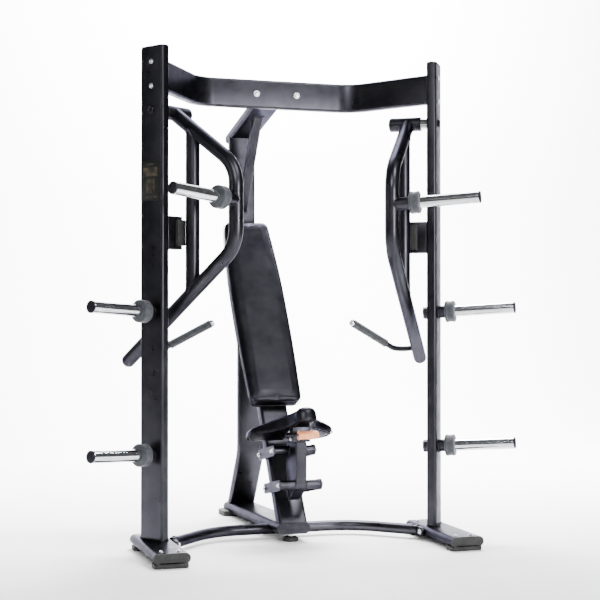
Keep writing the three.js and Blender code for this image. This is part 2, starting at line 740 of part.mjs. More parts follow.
// two side plates held together by the pivot bolts
function link(name, row) {
  const rear = rearPivot(row);
  const long = Math.hypot(LINK.y, LINK.z);
  const outline = roundedOutline(long + LINK_HIGH, LINK_HIGH, LINK_HIGH * 0.49);
  const plates = [LINK_X, -LINK_X - LINK_PLATE].map((x) => {
    const plate = prism(outline, LINK_PLATE).rotateZ(Math.atan2(LINK.z, LINK.y));
    return intoSidePlane(plate).translate(x, rear.y + LINK.y / 2, rear.z + LINK.z / 2);
  });
  const bolts = [rear, frontPivot(row)].flatMap((pivot) => [
    crossBar(pivot, LINK_X + LINK_PLATE + 1, PIVOT_BOLT_RADIUS, 16),
    ...crossBarHeads(pivot),
  ]);
  return mesh(name, join(...plates, ...bolts), 'powder');
}

function crossBarHeads(pivot) {
  const face = LINK_X + LINK_PLATE - 1;
  return [-1, 1].map((way) => rod(
    vec(way * face, pivot.y, pivot.z), vec(way * (face + 7), pivot.y, pivot.z), 10, 6,
  ));
}

function seatPost() {
  const foot = frontPivot(0);
  const profile = [
    [POST_FRONT, POST_TOP], [POST_FRONT, foot.z], [foot.y + 14, foot.z - 20],
    [72, 184], [86, 184], [102, 216], [POST_BACK, 300], [POST_BACK, POST_TOP],
  ];
  const body = sideProfile(profile, POST_HALF);
  const sleeves = [0, 1].map((row) => crossBar(frontPivot(row), LINK_X - GAP, SLEEVE_TUBE_RADIUS));
  const bores = [0, 1].map((row) => crossBar(frontPivot(row), 120, PIVOT_BOLT_RADIUS + GAP));
  return mesh('seat_post', cut(join(body, ...sleeves), ...bores), 'powder');
}

const seatUnderZ = (y) => SEAT_NOSE.z - (y - SEAT_NOSE.y) * tan(SEAT_TILT);

function seatBracket() {
  const front = POST_FRONT + 2;
  const back = POST_BACK + 14;
  const profile = [
    [front, POST_TOP + GAP], [back, POST_TOP + GAP],
    [back, seatUnderZ(back) - GAP], [front, seatUnderZ(front) - GAP],
  ];
  return mesh('seat_bracket', sideProfile(profile, BRACKET_HALF), 'powder');
}

// saddle outline: a narrow nose in front, flaring to broad thigh rests behind
function seatOutline() {
  const flare = new THREE.SplineCurve([
    [NOSE_HALF, NOSE_LONG], [NOSE_HALF + 3, 70], [NOSE_HALF + 19, 118], [100, 165], [150, 205],
    [SEAT_HALF - 4, 238], [SEAT_HALF, 262], [SEAT_HALF, 300], [SEAT_HALF - 9, 338], [SEAT_HALF - 44, SEAT_LONG],
  ].map(([x, y]) => new THREE.Vector2(x, y))).getPoints(20);
  const nose = [];
  for (let i = 1; i < 8; i += 1) {
    const angle = PI * (1 + i / 8);
    nose.push(new THREE.Vector2(NOSE_HALF * cos(angle), NOSE_LONG * (1 + sin(angle))));
  }
  const otherSide = flare.map(({ x, y }) => new THREE.Vector2(-x, y)).reverse();
  return new THREE.Shape([...nose, ...flare, ...otherSide]);
}

// the pad is thickest along its middle, and its top falls away to the thigh rests
function seatPad() {
  const block = new THREE.ExtrudeGeometry(seatOutline(), {
    depth: SEAT_THICK - 16, bevelThickness: 8, bevelSize: 8, bevelOffset: -8, bevelSegments: 2,
  }).translate(0, 0, 8);
  const edge = SEAT_HALF + 5;
  const ridge = NOSE_HALF + 4;
  const top = SEAT_THICK + 0.5;
  const section = new THREE.Shape([
    [-edge, -5], [edge, -5], [edge, WING_THICK], [ridge, top], [-ridge, top], [-edge, WING_THICK],
  ].map(([x, y]) => new THREE.Vector2(x, y)));
  const roof = new THREE.ExtrudeGeometry(section, { depth: SEAT_LONG + 40, bevelEnabled: false });
  roof.rotateX(PI / 2).translate(0, SEAT_LONG + 20, 0);
  const pad = geometryOf(solidOf(block).intersect(solidOf(roof)));
  pad.rotateX(-SEAT_TILT).translate(0, SEAT_NOSE.y, SEAT_NOSE.z);
  return mesh('seat_pad', pad, 'vinyl');
}

// ---- release lever ------------------------------------------------------

function releaseLever() {
  const { y, z, from } = LEVER_GRIP;
  const pivot = (x) => vec(x, LEVER_PIVOT.y, LEVER_PIVOT.z);
  const boss = rod(pivot(-BRACKET_HALF - GAP), pivot(LEVER_X - 5), 11);
  const arm = rod(pivot(LEVER_X), vec(LEVER_X, y, z), 5, 12);
  const knuckle = new THREE.SphereGeometry(5.5, 12, 8).translate(LEVER_X, y, z);
  const bar = rod(vec(LEVER_X, y, z), vec(from - GAP, y, z), 5, 12);
  return mesh('release_lever', join(boss, arm, knuckle, bar), 'zinc');
}

function leverGrip() {
  const { y, z, from, to, radius } = LEVER_GRIP;
  const long = to - from;
  const body = turned([
    [0, 0], [radius - 3, 0], [radius, 3], [radius, long - 14],
    [radius - 4, long - 4], [radius - 10, long], [0, long],
  ]);
  return mesh('lever_grip', alongAxis(body, vec(from, y, z), vec(1, 0, 0)), 'orange');
}

// ---- label --------------------------------------------------------------

function labelPlate() {
  const side = SIDES[0];
  const plate = prism(roundedOutline(158, 106, 6), 1);
  alongAxis(plate, sidePoint(side, -GAP, -3, 1500), vec(side.out, 0, 0));
  return mesh('label_plate', plate, 'label');
}

// ---- assembly -----------------------------------------------------------

const machine = new THREE.Group();

for (const side of SIDES) {
  machine.add(sideGroup(side, [
    uprightTube(side), uprightCap(side), ...storageHorns(side),
    pivotShaft(side), stopBracket(side), stopBumper(side),
    armBow(side), armChord(side), housingCap(side), handle(side), grip(side),
    ...armHorn(side),
  ]));
  machine.add(footTube(side), footShoe(side, 'front', -1), footShoe(side, 'rear', 1));
}
machine.add(sideGroup(SIDES[0], [labelPlate()]));
machine.add(curvedBaseTube(), baseBeam(), beamFrontCap(), levellingFoot(), rearRubberFoot());
machine.add(rearPost(), slantedSupport(), mesh('top_tube', topTubeSolid(), 'powder'), topTubeCap());
machine.add(diagonalBrace(), crossbeam(), backPad(), backBoard());
machine.add(link('upper_link', 1), link('lower_link', 0), seatPost(), seatBracket(), seatPad());
machine.add(releaseLever(), leverGrip());

// the origin is the middle of the machine's footprint, on the floor
const bounds = new THREE.Box3().setFromObject(machine, true);
const group = new THREE.Group();
group.add(machine);
const middle = bounds.getCenter(vec(0, 0, 0));
machine.position.set(-middle.x, -middle.y, -bounds.min.z);

export default group;
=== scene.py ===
"""Looks of a plate-loaded chest press machine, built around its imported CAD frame.

Lengths are millimetres until a mesh is made. While a piece is being built, Y = 0 lies between
the outer faces of the two uprights, as in the CAD source; PLACED moves it into the row frame.
"""

import math

import bmesh
import bpy
from mathutils import Matrix, Vector


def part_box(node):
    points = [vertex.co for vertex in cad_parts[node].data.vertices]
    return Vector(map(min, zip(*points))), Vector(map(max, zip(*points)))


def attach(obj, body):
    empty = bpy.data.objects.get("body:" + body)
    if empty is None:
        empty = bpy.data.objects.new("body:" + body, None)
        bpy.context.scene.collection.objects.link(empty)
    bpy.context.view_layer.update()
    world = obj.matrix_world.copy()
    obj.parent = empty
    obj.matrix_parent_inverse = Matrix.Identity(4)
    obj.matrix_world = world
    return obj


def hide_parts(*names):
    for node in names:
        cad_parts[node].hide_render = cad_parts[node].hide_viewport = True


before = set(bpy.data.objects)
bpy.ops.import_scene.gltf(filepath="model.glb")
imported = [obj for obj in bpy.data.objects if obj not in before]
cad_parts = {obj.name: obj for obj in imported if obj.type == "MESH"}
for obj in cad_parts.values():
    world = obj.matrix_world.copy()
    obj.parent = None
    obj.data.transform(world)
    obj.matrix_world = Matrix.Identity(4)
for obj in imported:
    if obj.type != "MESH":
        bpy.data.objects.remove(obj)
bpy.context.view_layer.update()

# ---- driving dimensions ----

TOE = math.radians(34)
UPRIGHT_X = 629
UPRIGHT_TOP = 2037
TUBE_WIDE, TUBE_THIN, TUBE_CORNER = 125, 42, 11

FOOT_X, FOOT_FRONT, FOOT_REAR = 612, -318, 150
FOOT_WIDE, FOOT_HIGH, FOOT_BASE = 145, 40, 18

BEAM_WIDE, BEAM_HIGH = 146, 48
BEAM_FRONT = Vector((0, 92, 59))
BEAM_REAR = Vector((0, 972, 31))
BASE_TUBE_RADIUS, BASE_TUBE_Z = 23, 38
BASE_END_Y, BASE_BOW_Y, BASE_BOW_RUN, BASE_BEND = 12, 238, 226, 300
LEVELLING_FOOT_Y, REAR_FOOT_Y = 128, 922
SHOE_LONG, END_CAP = 70, 8.3

CROSSBEAM_Z, CROSSBEAM_BOW_Y, BEAM_BOLT_HEIGHTS = 1932, 353, (1883, 1982)
FRAME_BEND = 150

RECLINE = math.radians(32)
SUPPORT_FOOT = Vector((0, 101.5, 112))
SUPPORT_WIDE, SUPPORT_THICK = 124, 60
POST_TOP_Y, POST_MID_Y = 918, 758
TOP_TUBE_FALL, TOP_TUBE_UNDER, TOP_TUBE_REAR_Y = math.atan(0.217), 1811, 978
BRACE_TOP, BRACE_FOOT, BRACE_WIDE = Vector((0, 636, 1884)), Vector((0, 905, 1466)), 40

PAD_LONG, PAD_START, BOARD_THICK = 978, 512, 15

ARM_RADIUS, ARM_PLANE, ARM_BEND = 28.75, 133, 150
PIVOT_Z = 1787
ARM_CORNERS = [(0, PIVOT_Z), (337, 1550), (337, 1232), (-262, 768)]
CHORD_S, CHORD_LOW, CHORD_HIGH = 104, 1052, 1714
HOUSING_RADIUS, HOUSING_OUT, HOUSING_IN = 30, 76, 206
STOP_LOW, STOP_HIGH, BUMPER_THICK = 1226, 1360, 20.6
HANDLE_RADIUS = 12

HORN_TILT = math.radians(3.5)
STORAGE_HEIGHTS = {"lower": 398, "upper": 972}
ARM_HORN_Z = 1413
COLLAR_RADIUS, COLLAR_LONG, SLEEVE_RADIUS, STUB_RADIUS = 46, 42, 24.8, 26
STORAGE_COLLAR, STORAGE_TIP = 30, 330
ARM_COLLAR, ARM_TIP = 76, 366

PIVOT_SPACING, LINK_Y, LINK_Z = 160, -204, 38
LINK_X, LINK_PLATE, LINK_HIGH = 84, 8, 44
PIVOT_TUBE_RADIUS, PIVOT_GAP = 19, 0.4

SEAT_TILT = math.radians(18)
SEAT_NOSE = Vector((0, -124, 531))
SEAT_LONG, SEAT_HALF, NOSE_HALF, NOSE_LONG, SEAT_THICK, WING_THICK = 370, 184, 43, 26, 58, 26
SEAT_POST_HALF, SEAT_POST_TOP = 24, 432
BRACKET_HALF, BRACKET_FRONT, BRACKET_BACK = 39, -19, 126
LEVER_PIVOT, LEVER_GRIP = Vector((-48, 22, 458)), Vector((-24, -60, 465))

LABEL_TALL, LABEL_WIDE, LABEL_Z = 158, 106, 1500

X, Y, Z = Vector((1, 0, 0)), Vector((0, 1, 0)), Vector((0, 0, 1))
SIDES = {"left": -1, "right": 1}

FACE_X = Matrix(((0, 0, 1, 0), (1, 0, 0, 0), (0, 1, 0, 0), (0, 0, 0, 1)))  # stands a plate to face +X

# The rear rubber foot's middle is known in both frames, so it ties them.
foot_low, foot_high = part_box("rear_rubber_foot")
shift_y = (foot_low.y + foot_high.y) * 500 - REAR_FOOT_Y
PLACED = Matrix.Scale(0.001, 4) @ Matrix.Translation((0, shift_y, 0))

# ---- camera ----

camera = bpy.data.objects.new("camera", bpy.data.cameras.new("camera"))
bpy.context.scene.collection.objects.link(camera)
bpy.context.scene.camera = camera
camera.location = PLACED @ Vector((-1686.2, -5221.8, 966.0))
camera.rotation_euler = (math.radians(90.59), 0, math.radians(-17.9))
camera.data.sensor_width = 36
camera.data.lens = 79.02
camera.data.clip_end = 100

# ---- materials ----


class Shader:
    """A Principled material whose detail comes from a few shared node patterns."""

    def __init__(self, name, **values):
        self.material = bpy.data.materials.new(name)
        self.material.use_nodes = True
        self.tree = self.material.node_tree
        self.surface = self.tree.nodes["Principled BSDF"]
        for socket, value in values.items():
            self.surface.inputs[socket.replace("_", " ").title().replace("Ior", "IOR")].default_value = value
        self.where = self.add("ShaderNodeTexCoord").outputs["Object"]
        self.height = None

    def add(self, kind, **settings):
        node = self.tree.nodes.new(kind)
        for name, value in settings.items():
            setattr(node, name, value)
        return node

    def link(self, output, target):
        self.tree.links.new(output, target)

    def stretched(self, scale):
        mapping = self.add("ShaderNodeMapping")
        mapping.inputs["Scale"].default_value = scale
        self.link(self.where, mapping.inputs["Vector"])
        return mapping.outputs["Vector"]

    def noise(self, scale, detail=3.0, stretch=None):
        node = self.add("ShaderNodeTexNoise")
        node.inputs["Scale"].default_value = scale
        node.inputs["Detail"].default_value = detail
        self.link(self.stretched(stretch) if stretch else self.where, node.inputs["Vector"])
        return node.outputs["Fac"]

    def cells(self, scale, smooth=0.35):
        node = self.add("ShaderNodeTexVoronoi", feature="SMOOTH_F1")
        node.inputs["Scale"].default_value = scale
        node.inputs["Smoothness"].default_value = smooth
        self.link(self.where, node.inputs["Vector"])
        return node.outputs["Distance"]

    def colour(self, fac, dark, light, start=0.35, end=0.65):
        node = self.add("ShaderNodeValToRGB")
        for stop, place, shade in zip(node.color_ramp.elements, (start, end), (dark, light)):
            stop.position = place
            stop.color = (*shade, 1)
        self.link(fac, node.inputs["Fac"])
        self.link(node.outputs["Color"], self.surface.inputs["Base Color"])

    def roughness(self, fac, low, high):
        node = self.add("ShaderNodeMapRange")
        node.inputs["From Min"].default_value = 0.3
        node.inputs["From Max"].default_value = 0.7
        node.inputs["To Min"].default_value = low
        node.inputs["To Max"].default_value = high
        self.link(fac, node.inputs["Value"])
        self.link(node.outputs["Result"], self.surface.inputs["Roughness"])

    def bump(self, fac, depth_mm, strength=1.0):
        node = self.add("ShaderNodeBump")
        node.inputs["Distance"].default_value = depth_mm * 0.001
        node.inputs["Strength"].default_value = strength
        self.link(fac, node.inputs["Height"])
        if self.height:
            self.link(self.height, node.inputs["Normal"])
        self.height = node.outputs["Normal"]
        self.link(self.height, self.surface.inputs["Normal"])
        return self


def powder_coat():
    """Satin black powder coat with a fine orange peel, dark even at a grazing angle."""
    s = Shader("powder_coat", metallic=1.0, specular_tint=(0.43, 0.43, 0.45, 1))
    s.colour(s.noise(7, 6), (0.029, 0.0285, 0.035), (0.041, 0.040, 0.048))
    s.roughness(s.noise(22, 5), 0.27, 0.38)
    s.bump(s.noise(420, 2), 0.10, 0.30).bump(s.noise(1500, 1), 0.03, 0.25)
    return s.material


def chrome():
    s = Shader("chrome_plate", metallic=1.0)
    s.colour(s.noise(30, 4), (0.54, 0.55, 0.58), (0.68, 0.69, 0.72))
    s.roughness(s.noise(60, 6, (1, 1, 14)), 0.05, 0.15)
    s.bump(s.noise(260, 3, (1, 1, 8)), 0.01, 0.25)
    return s.material


def zinc():
    s = Shader("zinc_plate", metallic=1.0)
    s.colour(s.noise(90, 5), (0.50, 0.51, 0.53), (0.74, 0.75, 0.76))
    s.roughness(s.noise(160, 5), 0.22, 0.40)
    s.bump(s.noise(900, 2), 0.02, 0.3)
    return s.material


def collar_rubber():
    s = Shader("collar_rubber", sheen_weight=0.15)
    s.colour(s.noise(40, 6), (0.015, 0.018, 0.024), (0.028, 0.032, 0.041))
    s.roughness(s.noise(110, 4), 0.55, 0.75)
    s.bump(s.noise(1100, 2), 0.05, 0.5).bump(s.noise(90, 3), 0.08, 0.3)
    return s.material


def grip_rubber():
    """Dark hand-grip rubber with a fine pebble."""
    s = Shader("grip_rubber", sheen_weight=0.2)
    s.colour(s.noise(60, 6), (0.011, 0.013, 0.017), (0.021, 0.024, 0.030))
    s.roughness(s.noise(130, 4), 0.58, 0.80)
    s.bump(s.cells(1300, 0.2), 0.10, 0.6)
    return s.material


def foot_rubber():
    s = Shader("foot_rubber")
    s.colour(s.noise(35, 6), (0.006, 0.006, 0.0065), (0.014, 0.0135, 0.0135))
    s.roughness(s.noise(70, 5), 0.62, 0.85)
    s.bump(s.noise(700, 3), 0.08, 0.6)
    return s.material


def cap_plastic():
    s = Shader("cap_plastic", metallic=1.0, specular_tint=(0.43, 0.43, 0.45, 1))
    s.colour(s.noise(50, 4), (0.025, 0.0245, 0.030), (0.035, 0.034, 0.041))
    s.roughness(s.noise(90, 4), 0.40, 0.55)
    s.bump(s.cells(1500, 0.3), 0.05, 0.5)
    return s.material


def vinyl():
    """Fine-grained imitation leather: pebbles, soft creases and a rubbed sheen."""
    s = Shader("vinyl_leather", metallic=1.0, specular_tint=(0.40, 0.40, 0.42, 1))
    s.colour(s.noise(9, 7), (0.017, 0.0165, 0.0205), (0.025, 0.0245, 0.029))
    s.roughness(s.noise(30, 6), 0.30, 0.40)
    s.bump(s.cells(620, 0.4), 0.16, 0.45).bump(s.noise(1700, 2), 0.05, 0.4)
    s.bump(s.noise(14, 4), 1.0, 0.30)
    return s.material


def board():
    s = Shader("board_back", specular_ior_level=0.1)
    s.colour(s.noise(120, 6, (1, 1, 0.1)), (0.0045, 0.0043, 0.0042), (0.0095, 0.0088, 0.0082))
    s.roughness(s.noise(60, 5), 0.65, 0.85)
    s.bump(s.noise(500, 3), 0.12, 0.6)
    return s.material


def lever_rubber():
    s = Shader("lever_rubber", sheen_weight=0.25)
    s.colour(s.noise(45, 6), (0.72, 0.235, 0.085), (0.88, 0.345, 0.15))
    s.roughness(s.noise(120, 4), 0.48, 0.68)
    s.bump(s.noise(1000, 2), 0.05, 0.5)
    return s.material


def label_film():
    s = Shader("label_film", specular_ior_level=0.25)
    s.colour(s.noise(25, 3), (0.0012, 0.0012, 0.0014), (0.0022, 0.0021, 0.0024))
    s.roughness(s.noise(80, 3), 0.42, 0.52)
    s.bump(s.noise(600, 2), 0.01, 0.3)
    return s.material


def label_print():
    s = Shader("label_print", specular_ior_level=0.25)
    s.colour(s.noise(28, 4), (0.007, 0.006, 0.0045), (0.046, 0.037, 0.022), 0.46, 0.66)
    s.roughness(s.noise(80, 3), 0.45, 0.55)
    s.bump(s.noise(600, 2), 0.01, 0.3)
    return s.material


POWDER, CHROME, ZINC = powder_coat(), chrome(), zinc()
COLLAR, GRIP, RUBBER, PLASTIC = collar_rubber(), grip_rubber(), foot_rubber(), cap_plastic()
VINYL, BOARD, ORANGE = vinyl(), board(), lever_rubber()
LABEL, LABEL_PRINT = label_film(), label_print()

# ---- making pieces ----


def smooth_object(name, form, material):
    mesh = bpy.data.meshes.new(name)
    form.to_mesh(mesh)
    form.free()
    mesh.polygons.foreach_set("use_smooth", [True] * len(mesh.polygons))
    mesh.materials.append(material)
    obj = bpy.data.objects.new(name, mesh)
    bpy.context.scene.collection.objects.link(obj)
    return obj


def piece(name, form, material, body="frame", place=Matrix.Identity(4), sharp=32, replaces=()):
    """A mesh object from a bmesh in millimetres, riding on a body."""
    form.transform(PLACED @ place)
    bmesh.ops.remove_doubles(form, verts=form.verts, dist=1e-6)
    bmesh.ops.recalc_face_normals(form, faces=form.faces)
    obj = smooth_object(name, form, material)
    obj.data.set_sharp_from_angle(angle=math.radians(sharp))
    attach(obj, body)
    if replaces:
        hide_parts(*replaces)
    return obj


def arc(x, y, radius, start, end, steps):
    for i in range(steps + 1):
        a = start + (end - start) * i / steps
        yield (x + radius * math.cos(a), y + radius * math.sin(a))


def rounded(wide, high, radius, steps=6):
    x, y = wide / 2 - radius, high / 2 - radius
    quarter = math.pi / 2
    corners = [(x, y), (-x, y), (-x, -y), (x, -y)]
    return [p for i, (cx, cy) in enumerate(corners)
            for p in arc(cx, cy, radius, i * quarter, (i + 1) * quarter, steps)]


def flat_oval(wide, high):
    return rounded(wide, high, high * 0.49, 12)


def circle(radius, sides=40):
    return [p for p in arc(0, 0, radius, 0, 2 * math.pi, sides)][:-1]


def skin(rings, closed=False):
    """A surface through rings of points; the first and last rings are capped unless closed."""
    form = bmesh.new()
    rows = [[form.verts.new(p) for p in ring] for ring in rings]
    count = len(rows[0])
    pairs = list(zip(rows, rows[1:])) + ([(rows[-1], rows[0])] if closed else [])
    for a, b in pairs:
        for i in range(count):
            j = (i + 1) % count
            form.faces.new((a[i], a[j], b[j], b[i]))
    if not closed:
        form.faces.new(rows[0])
        form.faces.new(rows[-1])
    return form


def bend(corners, radius, steps=14):
    """Stations (point, tangent) along straight runs joined by round bends."""
    points = [Vector(c) for c in corners]
    stations = [(points[0], (points[1] - points[0]).normalized())]
    for before, corner, after in zip(points, points[1:], points[2:]):
        arriving, leaving = (corner - before).normalized(), (after - corner).normalized()
        turn = arriving.angle(leaving)
        axis = arriving.cross(leaving).normalized()
        start = corner - arriving * radius * math.tan(turn / 2)
        centre = start + axis.cross(arriving) * radius
        for i in range(steps + 1):
            step = Matrix.Rotation(turn * i / steps, 3, axis)
            stations.append((centre + step @ (start - centre), step @ arriving))
    stations.append((points[-1], (points[-1] - points[-2]).normalized()))
    return stations


def sweep(section, stations, normal):
    """A section carried along stations, its first axis kept along the path plane's normal."""
    rings = []
    for point, tangent in stations:
        across = tangent.cross(normal).normalized()
        rings.append([point + normal * x + across * y for x, y in section])
    return skin(rings)


def facing(start, axis):
    """Moves a form from the origin to start, its Z turned to the axis."""
    return Matrix.Translation(start) @ Vector(axis).normalized().to_track_quat("Z", "Y").to_matrix().to_4x4()


def turned(profile, start=(0, 0, 0), axis=Z, sides=56):
    """A turned form: (radius, height) pairs; the ends are closed."""
    spin = [(math.cos(2 * math.pi * i / sides), math.sin(2 * math.pi * i / sides)) for i in range(sides)]
    form = skin([[(r * c, r * s, z) for c, s in spin] for r, z in profile])
    form.transform(facing(Vector(start), axis))
    return form


def rod(start, end, radius, sides=40):
    start, end = Vector(start), Vector(end)
    long, edge = (end - start).length, 0.8
    profile = [(radius - edge, 0), (radius, edge), (radius, long - edge), (radius - edge, long)]
    return turned(profile, start, end - start, sides)


def slab(outline, thick, edge=2.0, steps=3):
    """A plate of the outline on z = 0 with both rims rounded."""
    return rimmed(skin([[(x, y, z) for x, y in outline] for z in (0, thick)]), 2, edge, steps)


def rimmed(form, axis, edge, steps):
    """An extruded form with its rims rounded: the edges that lie square to the axis."""
    rims = [e for e in form.edges if abs(e.verts[0].co[axis] - e.verts[1].co[axis]) < 1e-6]
    bmesh.ops.bevel(form, geom=rims, offset=edge, segments=steps, profile=0.5, affect="EDGES")
    return form


def merged(*forms):
    """Several forms as one, for a piece made of parts that touch."""
    whole = bmesh.new()
    for form in forms:
        scratch = bpy.data.meshes.new("scratch")
        form.to_mesh(scratch)
        form.free()
        whole.from_mesh(scratch)
        bpy.data.meshes.remove(scratch)
    return whole


def bead(points, radius=2.6):
    """A weld bead round a closed line of points, with the small ripples of the torch."""
    points = [Vector(p) for p in points]
    rings, side = [], None
    for i, point in enumerate(points):
        tangent = (points[(i + 1) % len(points)] - points[i - 1]).normalized()
        side = tangent.orthogonal() if side is None else side - tangent * side.dot(tangent)
        side.normalize()
        up = tangent.cross(side)
        swell = radius * (1 + 0.14 * math.sin(i * 2.1))
        rings.append([point + (side * c + up * s) * swell for c, s in circle(1, 8)])
    return skin(rings, closed=True)


def dense(points, spacing=4.0):
    """Points at an even spacing round a closed outline."""
    out = []
    for a, b in zip(points, points[1:] + points[:1]):
        a, b = Vector(a), Vector(b)
        count = max(1, round((b - a).length / spacing))
        out += [a.lerp(b, i / count) for i in range(count)]
    return out


def ring_bead(start, axis, radius, bead_radius=2.4, count=48):
    place = facing(Vector(start), axis)
    return bead([place @ Vector((radius * c, radius * s, 0)) for c, s in circle(1, count)], bead_radius)


def bolt(start, axis, size=9.5, washer=14.0):
    """A washer, a chamfered hexagon head and the tip of its shank."""
    disc = turned([(washer - 0.6, 0), (washer, 0.5), (washer, 1.8), (washer - 0.6, 2.3)], sides=36)
    head = skin([[(r * c, r * s, z) for c, s in circle(1, 6)]
                 for r, z in ((size, 2.0), (size, 7.2), (size * 0.86, 8.6))])
    dimple = turned([(size * 0.62, 8.4), (size * 0.62, 9.0), (size * 0.5, 9.2)], sides=30)
    form = merged(disc, head, dimple)
    form.transform(facing(Vector(start), axis))
    return form


def button(start, axis, size=11.0):
    """A domed socket screw over a thin washer."""
    shares = [(1.35, 0), (1.4, 0.6), (1.4, 1.6), (1, 2.0), (1, 3.2), (0.86, 5.4), (0.6, 6.6), (0.42, 7.0),
              (0.40, 4.0), (0.05, 4.0)]
    return turned([(size * share, z) for share, z in shares], start, axis, 40)


def side_frame(out):
    """The frame of an upright: its outer face's middle line, toed out."""
    return Matrix.Translation((out * UPRIGHT_X, 0, 0)) @ Matrix.Rotation(-out * TOE, 4, "Z")


def at(out, inwards, forward, z):
    """A point beside an upright: inwards from its outer face, forward, and up."""
    return side_frame(out) @ Vector((-out * inwards, -forward, z))


def outward(out, tilt=0.0):
    """The way an upright's outer face looks, tilted up."""
    turn = Matrix.Rotation(-out * TOE, 3, "Z")
    return turn @ Vector((out * math.cos(tilt), 0, math.sin(tilt)))


# ---- uprights and storage horns ----


def upright(side, out):
    foot = FOOT_BASE + FOOT_HIGH
    section = rounded(TUBE_THIN, TUBE_WIDE, TUBE_CORNER, 8)
    column = skin([[(x - out * TUBE_THIN / 2, y, z) for x, y in section]
                   for z in (foot, UPRIGHT_TOP)])
    piece(f"{side}_upright_tube", column, POWDER, place=side_frame(out), replaces=[f"{side}_upright"])
    cap = slab(section, END_CAP, 5.0, 5)
    cap.transform(Matrix.Translation((-out * TUBE_THIN / 2, 0, UPRIGHT_TOP)))
    piece(f"{side}_top_cap", cap, PLASTIC, place=side_frame(out), replaces=[f"{side}_upright_cap"])
    rim = dense([(x * 1.03 - out * TUBE_THIN / 2, y * 1.01, foot + 1) for x, y in section])
    piece(f"{side}_foot_weld", bead(rim, 3.2), POWDER, place=side_frame(out))
    for i, z in enumerate(BEAM_BOLT_HEIGHTS):
        piece(f"{side}_beam_bolt_{i}", button(at(out, 0, 0, z), outward(out), 7.6), ZINC)
    for level, z in STORAGE_HEIGHTS.items():
        storage(side, out, level, z)


def storage(side, out, level, z):
    """A stub right through the upright, welded on both faces, and its horn."""
    axis = outward(out, HORN_TILT)
    root = at(out, 0, 0, z)
    piece(f"{side}_{level}_stub", rod(root - axis * 66, root + axis * STORAGE_COLLAR, STUB_RADIUS), POWDER)
    welds = merged(ring_bead(root + axis * 0.5, axis, STUB_RADIUS + 1, 2.8),
                   ring_bead(root - axis * (TUBE_THIN + 0.5), axis, STUB_RADIUS + 1, 2.8))
    piece(f"{side}_{level}_stub_weld", welds, POWDER)
    horn(f"{side}_{level}_storage", root, axis, STORAGE_COLLAR, STORAGE_TIP, "frame")


def horn(label, root, axis, collar_start, tip, body):
    """A stop ring with a lip and a groove, then the chrome sleeve with its end plug."""
    r, long = COLLAR_RADIUS, COLLAR_LONG
    profile = [(30, 0), (r - 6, 0), (r - 2, 1.4), (r, 5), (r, 11), (r - 2, 13), (r - 2, long - 13),
               (r, long - 11), (r, long - 5), (r - 2, long - 1.4), (r - 6, long), (26, long)]
    ring = turned(profile, root + axis * collar_start, axis, 72)
    piece(f"{label}_ring", ring, COLLAR, body, replaces=[f"{label}_collar"])
    start = collar_start + long
    r, reach = SLEEVE_RADIUS, tip - start
    profile = [(r, 0), (r, reach - 7), (r - 1.2, reach - 5.6), (18, reach - 5.6)]
    sleeve = turned(profile, root + axis * start, axis, 64)
    piece(f"{label}_tube", sleeve, CHROME, body, replaces=[f"{label}_sleeve"])
    profile = [(r - 1.0, reach - 6), (r - 0.4, reach - 5), (r - 0.4, reach - 2.4),
               (r - 2.6, reach - 0.6), (r - 9, reach), (2, reach + 0.2)]
    piece(f"{label}_plug", turned(profile, root + axis * start, axis, 48), PLASTIC, body)


# ---- feet and base ----


def foot(side, out):
    middle = FOOT_BASE + FOOT_HIGH / 2
    section = flat_oval(FOOT_WIDE, FOOT_HIGH)
    tube = skin([[(out * FOOT_X + x, y, middle + z) for x, z in section] for y in (FOOT_FRONT, FOOT_REAR)])
    piece(f"{side}_foot_tube", tube, POWDER, replaces=[f"{side}_foot"])
    for end, face, way in (("front", FOOT_FRONT, -1), ("rear", FOOT_REAR, 1)):
        plug = slab(section, 6.2, 2.4, 4)
        plug.transform(Matrix.Translation((out * FOOT_X, face, middle)) @ end_turn(way))
        pad = slab(rounded(FOOT_WIDE - 10, SHOE_LONG, 14, 8), 17.6, 2.2, 3)
        pad.transform(Matrix.Translation((out * FOOT_X, face + way * (5.7 - SHOE_LONG / 2), 0)))
        lip = slab(rounded(FOOT_WIDE - 44, 8, 3.5, 4), 12, 1.2, 2)
        lip.transform(Matrix.Translation((out * FOOT_X, face + way * 2.2, 12)))
        shoe = merged(plug, pad, lip)
        piece(f"{side}_{end}_rubber_shoe", shoe, RUBBER, replaces=[f"{side}_{end}_shoe"])
        for i, x in enumerate((-34, 34)):
            screw = button((out * FOOT_X + x, face - way * 38, FOOT_BASE + FOOT_HIGH - 0.4), Z, 6)
            piece(f"{side}_{end}_shoe_screw_{i}", screw, ZINC)


def end_turn(way):
    """Turns a plate from z = 0 to close a tube that runs along Y, at its front (-1) or rear (1)."""
    return Matrix.Rotation(-way * math.pi / 2, 4, "X")


